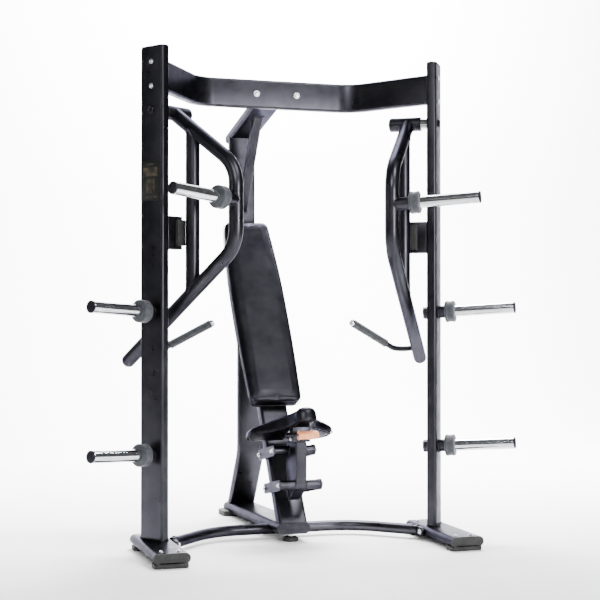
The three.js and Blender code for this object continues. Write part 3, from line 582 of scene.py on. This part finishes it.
def base_tube():
    """The bowed tube between the feet, with a bolted end plate at each foot."""
    inner = FOOT_X - FOOT_WIDE / 2 - 0.3
    reach = inner - 2
    corner = reach - BASE_BOW_RUN
    path = [(-reach, BASE_END_Y, BASE_TUBE_Z), (-corner, BASE_BOW_Y, BASE_TUBE_Z),
            (corner, BASE_BOW_Y, BASE_TUBE_Z), (reach, BASE_END_Y, BASE_TUBE_Z)]
    tube = sweep(circle(BASE_TUBE_RADIUS, 40), bend(path, BASE_BEND, 20), Z)
    piece("base_bow_tube", tube, POWDER, replaces=["curved_base_tube"])
    thick, middle = 14, 38.5
    for side, out in SIDES.items():
        plate = slab(rounded(112, 34, 8, 5), thick, 1.2, 3)
        plate.transform(Matrix.Translation((out * (inner - thick / 2) - thick / 2, 5, middle)) @ FACE_X)
        piece(f"{side}_base_flange", plate, POWDER)
        for i, y in enumerate((-38, 48)):
            head = bolt((out * (inner - thick), y, middle), (-out, 0, 0), 8, 11)
            piece(f"{side}_base_flange_bolt_{i}", head, ZINC)
        joint = Vector((out * (inner - thick - 1), 29, BASE_TUBE_Z))
        weld = ring_bead(joint, (out, -1, 0), BASE_TUBE_RADIUS + 1, 2.6)
        piece(f"{side}_base_flange_weld", weld, POWDER)


def base_beam():
    along = (BEAM_REAR - BEAM_FRONT).normalized()
    section = flat_oval(BEAM_WIDE, BEAM_HIGH)
    beam = sweep(section, [(BEAM_FRONT, along), (BEAM_REAR, along)], X)
    piece("base_beam_tube", beam, POWDER, replaces=["base_beam"])
    for end, start, way in (("front", BEAM_FRONT, -1), ("rear", BEAM_REAR, 1)):
        cap = slab(section, END_CAP, 3.4, 4)
        cap.transform(Matrix.Translation(start) @ end_turn(way))
        piece(f"base_beam_{end}_plug", cap, PLASTIC, replaces=["base_beam_front_cap"] if way < 0 else ())


def base_feet():
    """The fluted levelling foot on its threaded stem, and the rubber block at the rear."""
    y = LEVELLING_FOOT_Y
    dip = 0.035  # each flute takes this share off the radius
    flutes = [(c * (1 - dip * (i % 4 in (0, 1))), s * (1 - dip * (i % 4 in (0, 1))))
              for i, (c, s) in enumerate(circle(1, 96))]
    steps = [(31.6, 0), (33, 2), (33, 12), (31, 17), (27, 20), (16, 21.4), (8, 22)]
    pad = skin([[(r * c, y + r * s, z) for c, s in flutes] for r, z in steps])
    piece("levelling_foot_pad", pad, RUBBER, replaces=["levelling_foot"])
    piece("levelling_foot_stem", rod((0, y, 20), (0, y, 38), 6.5, 30), ZINC)
    nut = skin([[(11.5 * c, y + 11.5 * s, z) for c, s in circle(1, 6)] for z in (22.4, 30.5)])
    piece("levelling_foot_nut", nut, ZINC, sharp=20)
    block = slab(rounded(204, 116, 18, 8), 24, 3.2, 4)
    piece("rear_foot_block", block, RUBBER, place=Matrix.Translation((0, REAR_FOOT_Y, 0)),
          replaces=["rear_rubber_foot"])


# ---- back frame ----


def on_support(along, infront):
    """A point on the slanted support's middle line, up along it and out in front of it."""
    up = Vector((0, math.sin(RECLINE), math.cos(RECLINE)))
    ahead = Vector((0, -math.cos(RECLINE), math.sin(RECLINE)))
    return SUPPORT_FOOT + up * along + ahead * infront


def knee_z(y):
    """Height at which the rear post's bent middle run passes y, level with the support."""
    shift = TUBE_THIN / 2 / math.cos(RECLINE)
    return SUPPORT_FOOT.z + (y - SUPPORT_FOOT.y - shift) / math.tan(RECLINE)


def beam_top(y):
    run = (y - BEAM_FRONT.y) / (BEAM_REAR.y - BEAM_FRONT.y)
    return BEAM_FRONT.z + run * (BEAM_REAR.z - BEAM_FRONT.z) + BEAM_HIGH / 2


def rear_post():
    path = [(0, 938, 38), (0, POST_MID_Y, 318), (0, POST_MID_Y, knee_z(POST_MID_Y)),
            (0, POST_TOP_Y, knee_z(POST_TOP_Y)), (0, POST_TOP_Y, 1822)]
    post = sweep(rounded(TUBE_WIDE, TUBE_THIN, TUBE_CORNER, 8), bend(path, FRAME_BEND, 14), X)
    piece("rear_post_tube", post, POWDER, replaces=["rear_post"])


def support():
    """The slanted support, cut level on the base beam and upright at the rear post."""
    up = Vector((0, math.sin(RECLINE), math.cos(RECLINE)))
    across = up.cross(X).normalized()
    section = rounded(SUPPORT_WIDE, SUPPORT_THICK, TUBE_CORNER, 8)
    starts = [on_support(0, -SUPPORT_THICK / 2) + (X * x + across * y) for x, y in section]
    foot_ring = [p + up * ((beam_top(100) - 1 - p.z) / up.z) for p in starts]
    head_ring = [p + up * ((POST_MID_Y - TUBE_THIN / 2 - p.y) / up.y) for p in starts]
    piece("support_tube", skin([foot_ring, head_ring]), POWDER, replaces=["slanted_support"])
    foot_rim = dense([p + Vector((0, 0, 1.4)) for p in foot_ring])
    piece("support_foot_weld", bead(foot_rim, 3.0), POWDER)
    piece("support_head_weld", bead(dense(head_ring), 3.0), POWDER)
    for row in (0, 1):
        pivot = rear_pivot(row)
        for way in (-1, 1):
            root, end = SUPPORT_WIDE / 2 - 4, LINK_X - PIVOT_GAP
            sleeve = rod(pivot + X * way * root, pivot + X * way * end, PIVOT_TUBE_RADIUS)
            weld = ring_bead(pivot + X * way * (SUPPORT_WIDE / 2 + 0.6), X, PIVOT_TUBE_RADIUS + 1, 2.2)
            piece(f"support_pivot_sleeve_{row}_{'lr'[way > 0]}", merged(sleeve, weld), POWDER)


def top_tube_under(y):
    """Height of the top tube's underside, which rises from the rear post to the crossbeam."""
    return TOP_TUBE_UNDER + (POST_TOP_Y - TUBE_THIN / 2 - y) * math.tan(TOP_TUBE_FALL)


def top_tube():
    section = rounded(TUBE_WIDE, TUBE_THIN, TUBE_CORNER, 8)
    slope, front = TOP_TUBE_FALL, CROSSBEAM_BOW_Y + TUBE_THIN / 2
    run = Vector((0, math.cos(slope), -math.sin(slope)))
    start = Vector((0, front, top_tube_under(front) + TUBE_THIN / 2 / math.cos(slope)))
    end = start + run * ((TOP_TUBE_REAR_Y - front) / math.cos(slope))
    bar = sweep(section, [(start, run), (end, run)], X)
    for v in bar.verts:
        if v.co.y < front + 30:
            v.co += run * ((front - 1 - v.co.y) / run.y)
    piece("top_tube_bar", bar, POWDER, replaces=["top_tube"])
    cap = slab(section, END_CAP, 3.4, 4)
    cap.transform(Matrix.Translation(end) @ Matrix.Rotation(-math.pi / 2 - slope, 4, "X"))
    piece("top_tube_plug", cap, PLASTIC, replaces=["top_tube_cap"])


def brace():
    """The square brace between the top tube and the rear post, welded at both ends."""
    along = (BRACE_FOOT - BRACE_TOP).normalized()
    section = rounded(BRACE_WIDE, BRACE_WIDE, 5, 5)
    bar = sweep(section, [(BRACE_TOP, along), (BRACE_FOOT, along)], X)
    piece("brace_bar", bar, POWDER, replaces=["diagonal_brace"])
    half = BRACE_WIDE / 2 + 1
    post_face, high, low = POST_TOP_Y - TUBE_THIN / 2, 1530, 1446
    rim = [(x, post_face, z) for x, z in ((-half, high), (half, high), (half, low), (-half, low))]
    piece("brace_post_weld", bead(dense(rim), 2.4), POWDER)
    front, back = 600, 652
    rim = [(x, y, top_tube_under(y)) for x, y in ((-half, front), (half, front), (half, back), (-half, back))]
    piece("brace_top_weld", bead(dense(rim), 2.4), POWDER)


def crossbeam():
    """The bowed crossbeam, its ends cut to the uprights' inner faces."""
    start = at(1, TUBE_THIN, 12, CROSSBEAM_Z)
    slant = Vector((-math.sin(TOE), math.cos(TOE), 0))
    corner = start.x + slant.x * (CROSSBEAM_BOW_Y - start.y) / slant.y
    path = [(-start.x, start.y, CROSSBEAM_Z), (-corner, CROSSBEAM_BOW_Y, CROSSBEAM_Z),
            (corner, CROSSBEAM_BOW_Y, CROSSBEAM_Z), (start.x, start.y, CROSSBEAM_Z)]
    beam = sweep(rounded(TUBE_WIDE, TUBE_THIN, TUBE_CORNER, 8), bend(path, FRAME_BEND, 18), Z)
    for v in beam.verts:
        if abs(v.co.x) > 560:
            out = 1 if v.co.x > 0 else -1
            run, face = Vector((-slant.x * out, -slant.y, 0)), outward(out)
            past = (v.co - at(out, TUBE_THIN, 0, 0)).dot(face)
            v.co -= run * (past / face.dot(run))
    piece("crossbeam_bow", beam, POWDER, replaces=["crossbeam"])
    for i, x in enumerate((-92, 92)):
        place = (x, CROSSBEAM_BOW_Y - TUBE_THIN / 2, CROSSBEAM_Z)
        piece(f"crossbeam_bolt_{i}", bolt(place, -Y, 10, 14), ZINC)


# ---- upholstery ----


def inset(outline, depth):
    """The outline moved inwards along its normals."""
    count = len(outline)
    moved = []
    for i, (x, y) in enumerate(outline):
        (ax, ay), (bx, by) = outline[i - 1], outline[(i + 1) % count]
        tx, ty = bx - ax, by - ay
        long = math.hypot(tx, ty) or 1
        moved.append((x - ty / long * depth, y + tx / long * depth))
    return moved


def even(outline, spacing=9.0):
    """Points at an even spacing round an outline."""
    closed = [Vector((*p, 0)) for p in outline] + [Vector((*outline[0], 0))]
    lengths = [0.0]
    for a, b in zip(closed, closed[1:]):
        lengths.append(lengths[-1] + (b - a).length)
    count = round(lengths[-1] / spacing)
    points, i = [], 0
    for k in range(count):
        goal = lengths[-1] * k / count
        while lengths[i + 1] < goal:
            i += 1
        share = (goal - lengths[i]) / max(1e-9, lengths[i + 1] - lengths[i])
        p = closed[i].lerp(closed[i + 1], share)
        points.append((p.x, p.y))
    return points


def cushion(outline, thick, crown, edge):
    """A crowned pad on z = 0: rounded lower and upper rims, and a top that rises to the middle."""
    points = even(outline)
    rows = [(edge * 0.9, 0), (edge * 0.3, edge * 0.18), (0, edge * 0.6), (0.6, thick * 0.5)]
    rows += [(0, thick - edge * 0.8), (edge * 0.3, thick - edge * 0.22)]
    for depth, rise in ((0.95, 0), (2.0, 0.35), (3.4, 0.68), (5.0, 1)):
        rows.append((edge * depth, thick + crown * rise))
    return skin([[(x, y, z) for x, y in inset(points, depth)] for depth, z in rows])


def inflate(obj, cap_mm, voxel_mm=5.0):
    """Remesh the pad evenly, let its cover fill with pressure, and make the surface finer."""
    bpy.context.view_layer.objects.active = obj
    remesh = obj.modifiers.new("remesh", "REMESH")
    remesh.mode = "VOXEL"
    remesh.voxel_size = voxel_mm * 0.001
    bpy.ops.object.modifier_apply(modifier="remesh")
    smooth = obj.modifiers.new("smooth", "SMOOTH")
    smooth.factor, smooth.iterations = 0.5, 4
    bpy.ops.object.modifier_apply(modifier="smooth")
    press(obj, cap_mm * 0.001)
    finer = obj.modifiers.new("finer", "SUBSURF")
    finer.levels = finer.render_levels = 1
    bpy.ops.object.modifier_apply(modifier="finer")
    obj.data.polygons.foreach_set("use_smooth", [True] * len(obj.data.polygons))


def press(obj, limit):
    """Run the cover as cloth under pressure; no point ends further than the limit from its start."""
    before = [v.co.copy() for v in obj.data.vertices]
    cloth = obj.modifiers.new("cloth", "CLOTH")
    cloth.settings.use_pressure = True
    cloth.settings.uniform_pressure_force = 4.0
    cloth.settings.effector_weights.gravity = 0
    scene = bpy.context.scene
    for number in range(1, 21):
        scene.frame_set(number)
    moved = obj.evaluated_get(bpy.context.evaluated_depsgraph_get()).data
    after = [v.co.copy() for v in moved.vertices]
    obj.modifiers.remove(cloth)
    scene.frame_set(1)
    for vertex, a, b in zip(obj.data.vertices, before, after):
        step = b - a
        vertex.co = a + step * min(1.0, limit / max(step.length, 1e-9))


def back_outline():
    """A long barrel: widest in the middle, a little narrower at the head and the foot."""
    half, head, tail, corner = 130, 106, 118, 34
    top, steps = PAD_LONG / 2, 24

    def width(y):
        share = y / top
        return half - (half - (head if share > 0 else tail)) * abs(share) ** 2.2

    heights = [corner - top + (PAD_LONG - 2 * corner) * i / steps for i in range(steps + 1)]
    right = [(width(y), y) for y in heights]
    head_x, tail_x = right[-1][0] - corner, right[0][0] - corner
    head_arc = list(arc(head_x, top - corner, corner, 0, math.pi / 2, 8))[1:]
    tail_arc = list(arc(tail_x, corner - top, corner, -math.pi / 2, 0, 8))[:-1]
    half_line = tail_arc + right + head_arc
    return half_line + [(-x, y) for x, y in reversed(half_line)]


def seat_outline():
    """A saddle: a narrow round nose that flares to broad thigh rests."""
    nose = [(NOSE_HALF * c, NOSE_LONG * (1 + s)) for c, s in arc(0, 0, 1, -math.pi / 2, 0, 9)]
    flare = [(NOSE_HALF, NOSE_LONG, 0), (NOSE_HALF + 3, 70, 0), (NOSE_HALF + 19, 118, 0), (100, 165, 0),
             (150, 205, 0), (SEAT_HALF - 4, 238, 0), (SEAT_HALF, 262, 0), (SEAT_HALF, 300, 0),
             (SEAT_HALF - 9, 338, 0), (SEAT_HALF - 44, SEAT_LONG, 0)]
    right = nose + [(p.x, p.y) for p in smooth_curve(flare, 6)[1:]] + [(0, SEAT_LONG)]
    return right + [(-x, y) for x, y in reversed(right[1:-1])]


def toward_spine(point, depth):
    """A point of the seat's outline moved in towards the saddle's middle line."""
    place = Vector((*point, 0))
    spine = Vector((0, min(max(place.y, 40), 312), 0))
    room = (spine - place).length
    return place.lerp(spine, min(depth / max(room, 1e-6), 0.94))


def seat_top(x):
    """Height of the saddle's top: a round ridge that falls away to the thigh rests."""
    fall = (SEAT_THICK - WING_THICK) / (SEAT_HALF - NOSE_HALF + 6)
    beyond = abs(x) - NOSE_HALF + 16
    slope = fall * (math.sqrt(beyond * beyond + 18 * 18) + beyond) / 2
    return SEAT_THICK + 2 - slope


def seat_form():
    """The padded saddle: a low seam, a wall that rolls over, then the falling top."""
    points = even(seat_outline(), 7)
    seam, roll = 5, 23
    rings = []
    for depth, z in ((14, 0.8), (3, 1.2), (0, seam)):
        rings.append([(*toward_spine(p, depth).xy, z) for p in points])
    for share, depth in ((0.30, 0), (0.55, 0.6), (0.74, 3), (0.87, 7.5), (0.955, 14), (1.0, roll)):
        walls = [(toward_spine(p, depth), toward_spine(p, roll)) for p in points]
        rings.append([(*wall.xy, seam + (seat_top(edge.x) - seam) * share) for wall, edge in walls])
    for depth in (32, 44, 58, 76, 98, 124, 156):
        inner = [toward_spine(p, depth) for p in points]
        rings.append([(p.x, p.y, seat_top(p.x) + 1) for p in inner])
    return skin(rings)


def resting(infront):
    """Lays a plate from z = 0 on the slanted support, at the back pad's middle."""
    middle = on_support(PAD_START + PAD_LONG / 2, infront)
    return Matrix.Translation(middle) @ Matrix.Rotation(math.pi / 2 - RECLINE, 4, "X")


def back_rest():
    back = piece("back_cushion", cushion(back_outline(), 46, 5, 11), VINYL,
                 place=resting(BOARD_THICK + 1.5), replaces=["back_pad"])
    inflate(back, 4)
    seam = bead(dense([(x, y, 0) for x, y in even(inset(back_outline(), -0.6), 8)], 5), 1.5)
    piece("back_cushion_seam", seam, VINYL, place=resting(BOARD_THICK + 12))
    plank = slab(even(inset(back_outline(), 9), 8), 14.6, 2.0, 3)
    piece("back_plank", plank, BOARD, place=resting(0.3), replaces=["back_board"])


def seat():
    tilt = Matrix.Translation(SEAT_NOSE) @ Matrix.Rotation(-SEAT_TILT, 4, "X")
    cover = piece("seat_cushion", seat_form(), VINYL, "seat_carriage", tilt, replaces=["seat_pad"])
    inflate(cover, 3, 4.0)
    rim = even(seat_outline(), 7)
    line = bead(dense([(*toward_spine(p, 0.6).xy, 4) for p in rim], 5), 2.2)
    piece("seat_piping", line, VINYL, "seat_carriage", tilt)
    plank = slab([tuple(toward_spine(p, 9).xy) for p in rim], 8, 1.5, 2)
    piece("seat_plank", plank, BOARD, "seat_carriage", tilt)


# ---- arms ----


def arm(side, out):
    body = f"{side}_arm"
    across = outward(out)
    corners = [at(out, ARM_PLANE, s, z) for s, z in ARM_CORNERS]
    bow = sweep(circle(ARM_RADIUS, 44), bend(corners, ARM_BEND, 20), across)
    piece(f"{side}_bow_tube", bow, POWDER, body, replaces=[f"{side}_arm_bow"])
    r = ARM_RADIUS
    profile = [(r, -1), (r, 4), (r - 2.5, 12), (r - 9, 20), (10, 25), (1, 26.5)]
    dome = turned(profile, corners[3], corners[3] - corners[2], 44)
    piece(f"{side}_bow_end", dome, POWDER, body, sharp=80)
    low, high = (at(out, ARM_PLANE, CHORD_S, z) for z in (CHORD_LOW, CHORD_HIGH))
    piece(f"{side}_chord_tube", rod(low, high, r, 44), POWDER, body, replaces=[f"{side}_arm_chord"])
    for i, (end, first, second, way) in enumerate(((high, 0, 1, -1), (low, 2, 3, 1))):
        rim = chord_rim(end, corners[first], corners[second], across, way)
        piece(f"{side}_chord_weld_{i}", bead(dense(rim, 4), 2.6), POWDER, body)
    housing(side, out, body)

    axis = outward(out, HORN_TILT)
    root = at(out, ARM_PLANE, ARM_CORNERS[1][0], ARM_HORN_Z)
    piece(f"{side}_horn_stub", rod(root, root + axis * (ARM_COLLAR + 1), STUB_RADIUS), POWDER, body)
    piece(f"{side}_horn_weld", saddle(root, axis, STUB_RADIUS + 0.8), POWDER, body)
    horn(f"{side}_arm_horn", root, axis, ARM_COLLAR, ARM_TIP, body)
    handle(side, out, body)


def chord_rim(end, corner, next_corner, across, way):
    """Where the upright chord meets a slanted run of the bow, on its upper (1) or lower (-1) face."""
    radius = ARM_RADIUS + 0.6
    run = (next_corner - corner).normalized()
    normal = run.cross(across)
    normal = normal if normal.z * way > 0 else -normal
    rim = []
    for c, s in circle(1, 60):
        point = end + (across * c + across.cross(Z) * s) * radius
        offset = point - corner
        offset -= run * offset.dot(run)
        lift = math.sqrt(max(0.0, radius ** 2 - offset.dot(across) ** 2))
        rim.append(point + Z * (lift - offset.dot(normal)) / normal.z)
    return rim


def housing(side, out, body):
    r, long = HOUSING_RADIUS, HOUSING_IN - HOUSING_OUT
    profile = [(r - 1.5, 0), (r, 1.5), (r, long - 1.5), (r - 1.5, long)]
    tube = turned(profile, at(out, HOUSING_OUT, 0, PIVOT_Z), -outward(out), 56)
    piece(f"{side}_pivot_housing", tube, POWDER, body)
    profile = [(r, 0), (r, 4), (r - 2, 6.5), (r - 7, 9), (1, 11)]
    cap = turned(profile, at(out, HOUSING_IN + 0.2, 0, PIVOT_Z), -outward(out), 48)
    piece(f"{side}_pivot_cap", cap, PLASTIC, body, replaces=[f"{side}_housing_cap"], sharp=50)


def saddle(root, axis, radius):
    """The bead where a round stub meets the arm's upright run."""
    sideways = axis.cross(Z).normalized()
    up = sideways.cross(axis).normalized()
    rim = []
    for c, s in circle(1, 48):
        reach = math.sqrt(ARM_RADIUS ** 2 - min(ARM_RADIUS, radius * abs(c)) ** 2)
        rim.append(root + axis * reach + sideways * radius * c + up * radius * s)
    return bead(rim, 2.6)


def smooth_curve(points, steps=14):
    """A Catmull-Rom line through points."""
    points = [Vector(p) for p in points]
    longer = [points[0] * 2 - points[1]] + points + [points[-1] * 2 - points[-2]]
    line = []
    for a, b, c, d in zip(longer, longer[1:], longer[2:], longer[3:]):
        for i in range(steps):
            t = i / steps
            line.append(0.5 * (2 * b + (c - a) * t + (2 * a - 5 * b + 4 * c - d) * t * t
                               + (3 * b - a - 3 * c + d) * t ** 3))
    return line + [points[-1]]


def handle(side, out, body):
    """The bent handle tube with its ribbed grip and chrome end."""
    local = [(ARM_PLANE + 20, -205, 812), (ARM_PLANE + 60, -190, 808), (ARM_PLANE + 100, -170, 812),
             (ARM_PLANE + 128, -152, 829), (382, -27, 921)]
    wall, elbow, turn, start, tip = (at(out, *p) for p in local)
    line = smooth_curve([wall, elbow, turn, start, start.lerp(tip, 0.12)])
    piece(f"{side}_handle_tube", round_tube(line, HANDLE_RADIUS), POWDER, body, replaces=[f"{side}_handle"])
    piece(f"{side}_handle_weld", ring_bead(wall, elbow - wall, HANDLE_RADIUS + 1.5, 2.2), POWDER, body)
    axis = (tip - start).normalized()
    grip_start = start + axis * 5
    piece(f"{side}_hand_grip", turned(grip_profile(), grip_start, axis, 48), GRIP, body,
          replaces=[f"{side}_grip"], sharp=50)
    profile = [(13.9, 196), (14.6, 197), (14.6, 207), (13, 210), (9, 211.2), (1, 211.4)]
    piece(f"{side}_grip_end", turned(profile, grip_start, axis, 40), CHROME, body)


def grip_profile():
    """A rubber grip: a collar at each end and low ribs between."""
    core, rib, collar, pitch = 16.6, 17.2, 17.6, 15.6
    profile = [(13, 0), (16.2, 0.8), (collar, 3), (collar, 9), (core, 11)]
    for i in range(11):
        z = 14 + i * pitch
        profile += [(core, z), (rib, z + 3), (rib, z + 10), (core, z + 13)]
    return profile + [(core, 186), (collar, 188), (collar, 194), (16.2, 196), (13, 196.4)]


def round_tube(line, radius, sides=28):
    """A round tube along a smooth line of points."""
    rings, side = [], None
    for i, point in enumerate(line):
        tangent = (line[min(i + 1, len(line) - 1)] - line[max(i - 1, 0)]).normalized()
        side = tangent.orthogonal() if side is None else side - tangent * side.dot(tangent)
        side.normalize()
        up = tangent.cross(side)
        rings.append([point + (side * c + up * s) * radius for c, s in circle(1, sides)])
    return skin(rings)


def pivot_and_stop(side, out):
    """The pivot shaft's outer end and spacer, and the arm stop with its rubber bumper."""
    across = outward(out)
    profile = [(16, 0), (16, 5), (14.4, 6.6), (12, 7), (10.5, 5.6), (1, 5.4)]
    end = turned(profile, at(out, 0, 0, PIVOT_Z), across, 44)
    piece(f"{side}_pivot_end", end, POWDER, replaces=[f"{side}_pivot_shaft"])
    profile = [(23, 0), (24, 1), (24, 32.4), (23, 33.4)]
    piece(f"{side}_pivot_spacer", turned(profile, at(out, TUBE_THIN, 0, PIVOT_Z), -across, 48), CHROME)

    high = STOP_HIGH - STOP_LOW
    face = CHORD_S - ARM_RADIUS - BUMPER_THICK
    reach, deep = ARM_PLANE - 6, 46
    bracket = slab(rounded(reach - TUBE_THIN, deep, 5, 4), high, 2.0, 3)
    bracket.transform(Matrix.Translation((-out * (TUBE_THIN + reach) / 2, -face + deep / 2, STOP_LOW)))
    piece(f"{side}_stop_block", bracket, POWDER, place=side_frame(out), replaces=[f"{side}_stop_bracket"])
    rubber = slab(rounded(44, 20, 5, 5), high - 30, 3.0, 4)
    rubber.transform(Matrix.Translation((-out * (ARM_PLANE - 30), 10 - (face + 20.3), STOP_LOW + 15)))
    piece(f"{side}_stop_rubber", rubber, RUBBER, place=side_frame(out), replaces=[f"{side}_stop_bumper"])


# ---- seat linkage ----


def rear_pivot(row):
    """A link's pivot on the support: row 0 is the lower link, row 1 the upper."""
    up = row * PIVOT_SPACING
    return Vector((0, 203 + up * math.sin(RECLINE), 216 + up * math.cos(RECLINE)))


def front_pivot(row):
    return rear_pivot(row) + Vector((0, LINK_Y, LINK_Z))


def link(name, row):
    rear, front = rear_pivot(row), front_pivot(row)
    middle, run = (rear + front) / 2, front - rear
    outline = rounded(run.length + LINK_HIGH, LINK_HIGH, LINK_HIGH * 0.49, 14)
    outer = LINK_X + LINK_PLATE
    basis = Matrix((X, run.normalized(), X.cross(run.normalized()))).transposed().to_4x4()
    turn = basis @ FACE_X
    plates = []
    for x in (LINK_X, -outer):
        plate = slab(outline, LINK_PLATE, 1.3, 3)
        plate.transform(Matrix.Translation(middle + X * x) @ turn)
        plates.append(plate)
    piece(f"{name}_plates", merged(*plates), POWDER, name, replaces=[name])
    for end, pivot in (("rear", rear), ("front", front)):
        heads = [bolt(pivot + X * way * outer, X * way, 7, 9.5) for way in (-1, 1)]
        piece(f"{name}_{end}_bolts", merged(*heads), ZINC, name)
    if row:
        inner = front - run.normalized() * 30
        heads = [button(inner + X * way * outer, X * way, 5.5) for way in (-1, 1)]
        piece(f"{name}_plate_screws", merged(*heads), ZINC, name)


def seat_frame():
    """The seat post with its two cross tubes, and the bracket under the seat."""
    foot, top, half = front_pivot(0), SEAT_POST_TOP, SEAT_POST_HALF
    profile = [(-21, top), (-21, foot.z + 4), (foot.y - 6, foot.z - 16), (foot.y + 12, foot.z - 24),
               (70, 186), (78, 181), (87, 186), (102, 216), (112, 296), (112, top)]
    post = rimmed(skin([[(x, y, z) for y, z in profile] for x in (-half, half)]), 0, 5, 4)
    piece("seat_post_tube", post, POWDER, "seat_carriage", replaces=["seat_post"])
    reach = X * (LINK_X - PIVOT_GAP)
    for row in (0, 1):
        pivot = front_pivot(row)
        tube = rod(pivot - reach, pivot + reach, PIVOT_TUBE_RADIUS, 44)
        welds = [ring_bead(pivot + X * way * (half + 0.8), X, PIVOT_TUBE_RADIUS + 1, 2.2) for way in (-1, 1)]
        piece(f"seat_pivot_tube_{row}", merged(tube, *welds), POWDER, "seat_carriage")

    def under(y):
        return SEAT_NOSE.z - (y - SEAT_NOSE.y) * math.tan(SEAT_TILT) - 0.4

    front, back, bottom = BRACKET_FRONT, BRACKET_BACK, top + 0.3
    plate = [(front, bottom), (back, bottom), (back, under(back)), (front, under(front))]
    box = skin([[(x, y, z) for y, z in plate] for x in (-BRACKET_HALF, BRACKET_HALF)])
    bmesh.ops.bevel(box, geom=box.edges[:], offset=2.4, segments=3, profile=0.5, affect="EDGES")
    piece("seat_bracket_box", box, POWDER, "seat_carriage", replaces=["seat_bracket"])


def lever():
    """The release lever: a boss at its pivot, a bent rod and an orange grip with a flange."""
    pivot, grip = LEVER_PIVOT, LEVER_GRIP
    knee = Vector((pivot.x, grip.y, grip.z))
    bend_end = knee + Vector((6, 1, 0))
    line = smooth_curve([pivot, pivot.lerp(knee, 0.55), pivot.lerp(knee, 0.9), bend_end, grip], 10)
    bar = merged(rod(pivot + X * 8.5, pivot - X * 5, 11, 36), round_tube(line, 5, 20))
    piece("lever_rod", bar, POWDER, "release_lever", replaces=["release_lever"])
    profile = [(9, -0.3), (15.5, 0.4), (17.2, 2.4), (17.6, 6), (17.4, 16), (17.1, 30), (17.2, 52), (17.6, 66),
               (17.4, 73), (15.8, 79), (11.5, 83.4), (7.5, 85.6), (1, 86)]
    piece("lever_hand_grip", turned(profile, grip, X, 52), ORANGE, "release_lever",
          replaces=["lever_grip"], sharp=60)
    profile = [(8, -3.2), (19.4, -2.8), (20, -1.6), (19.4, -0.4), (12, 0)]
    piece("lever_grip_flange", turned(profile, grip + X * 0.6, X, 52), ORANGE, "release_lever", sharp=50)
    for i, (y, z) in enumerate(((18, 474), (0, 447))):
        piece(f"seat_bracket_screw_{i}", button((-BRACKET_HALF, y, z), -X, 6.5), ZINC, "seat_carriage")


def label():
    """The label plate on the left upright, with four blank panels."""
    face = outward(SIDES["left"])
    axes = Matrix((Z, Z.cross(face), face)).transposed().to_4x4()
    placing = Matrix.Translation(at(SIDES["left"], -0.3, -3, LABEL_Z)) @ axes
    plate = slab(rounded(LABEL_TALL, LABEL_WIDE, 6, 6), 1.0, 0.3, 2)
    plate.transform(placing)
    piece("label_film_plate", plate, LABEL, replaces=["label_plate"])
    panels = []
    for up, tall, wide in ((67, 6, 46), (36, 36, 80), (-20, 58, 48), (-66, 6, 70)):
        panel = slab(rounded(tall, wide, 2.4, 3), 0.25, 0.05, 1)
        panel.transform(placing @ Matrix.Translation((up, 0, 1.0)))
        panels.append(panel)
    piece("label_panels", merged(*panels), LABEL_PRINT)


# ---- stage, in metres ----

FLOOR_FRONT, WALL_Y, WALL_BEND, WALL_TOP, STAGE_HALF = -9, 5.2, 2.0, 9, 9.0

LIGHTS = {  # place, target, size, watts
    "key": ((-2.4, -5.6, 4.4), (0, 0, 1.1), 2.2, 260),
    "front": ((1.9, -5.4, 1.5), (0, 0, 1.2), 1.4, 270),
    "high_front": ((1.6, -3.0, 4.4), (0, 0.2, 0.4), 1.3, 140),
    "rim": ((-5.0, -0.9, 2.2), (0, 0, 1.0), 0.7, 20),
    "top": ((0.3, 2.0, 5.0), (0, 0.4, 0.8), 2.4, 420),
    "backdrop": ((1.6, 1.6, 5.0), (1.9, 5.2, 2.6), 3.2, 3300),
}


def paper_sheet(name, profile, material):
    """A sheet of studio paper through (y, z) pairs, across the whole stage."""
    form = bmesh.new()
    rows = [[form.verts.new((x, y, z)) for x in (-STAGE_HALF, STAGE_HALF)] for y, z in profile]
    for a, b in zip(rows, rows[1:]):
        form.faces.new((a[0], a[1], b[1], b[0]))
    smooth_object(name, form, material)


def stage():
    """A wide pale floor that curves up into a backdrop behind the machine."""
    paper = Shader("studio_paper", roughness=0.9)
    paper.colour(paper.noise(0.6, 2), (0.94, 0.94, 0.94), (0.965, 0.965, 0.965))
    bend_y = WALL_Y - WALL_BEND
    paper_sheet("floor", [(FLOOR_FRONT, 0), (bend_y, 0)], paper.material)
    curve = list(arc(bend_y, WALL_BEND, WALL_BEND, -math.pi / 2, 0, 14))
    paper_sheet("backdrop", curve + [(WALL_Y, WALL_TOP)], paper.material)

    world = bpy.data.worlds.new("studio")
    bpy.context.scene.world = world
    world.use_nodes = True
    background = world.node_tree.nodes["Background"]
    background.inputs["Color"].default_value = (1, 1, 1, 1)
    background.inputs["Strength"].default_value = 0.13
    for name, (place, target, size, watts) in LIGHTS.items():
        area(name, place, target, size, watts)


def area(name, place, target, size, watts):
    light = bpy.data.objects.new(name, bpy.data.lights.new(name, "AREA"))
    light.data.shape = "SQUARE"
    light.data.size = size
    light.data.energy = watts
    light.location = place
    light.rotation_euler = (Vector(target) - Vector(place)).to_track_quat("-Z", "Y").to_euler()
    bpy.context.scene.collection.objects.link(light)


# ---- the whole machine ----

for side, out in SIDES.items():
    upright(side, out)
    foot(side, out)
    arm(side, out)
    pivot_and_stop(side, out)
for build in (base_tube, base_beam, base_feet, rear_post, support, top_tube, brace, crossbeam):
    build()
back_rest()
seat()
link("upper_link", 1)
link("lower_link", 0)
seat_frame()
lever()
label()
stage()
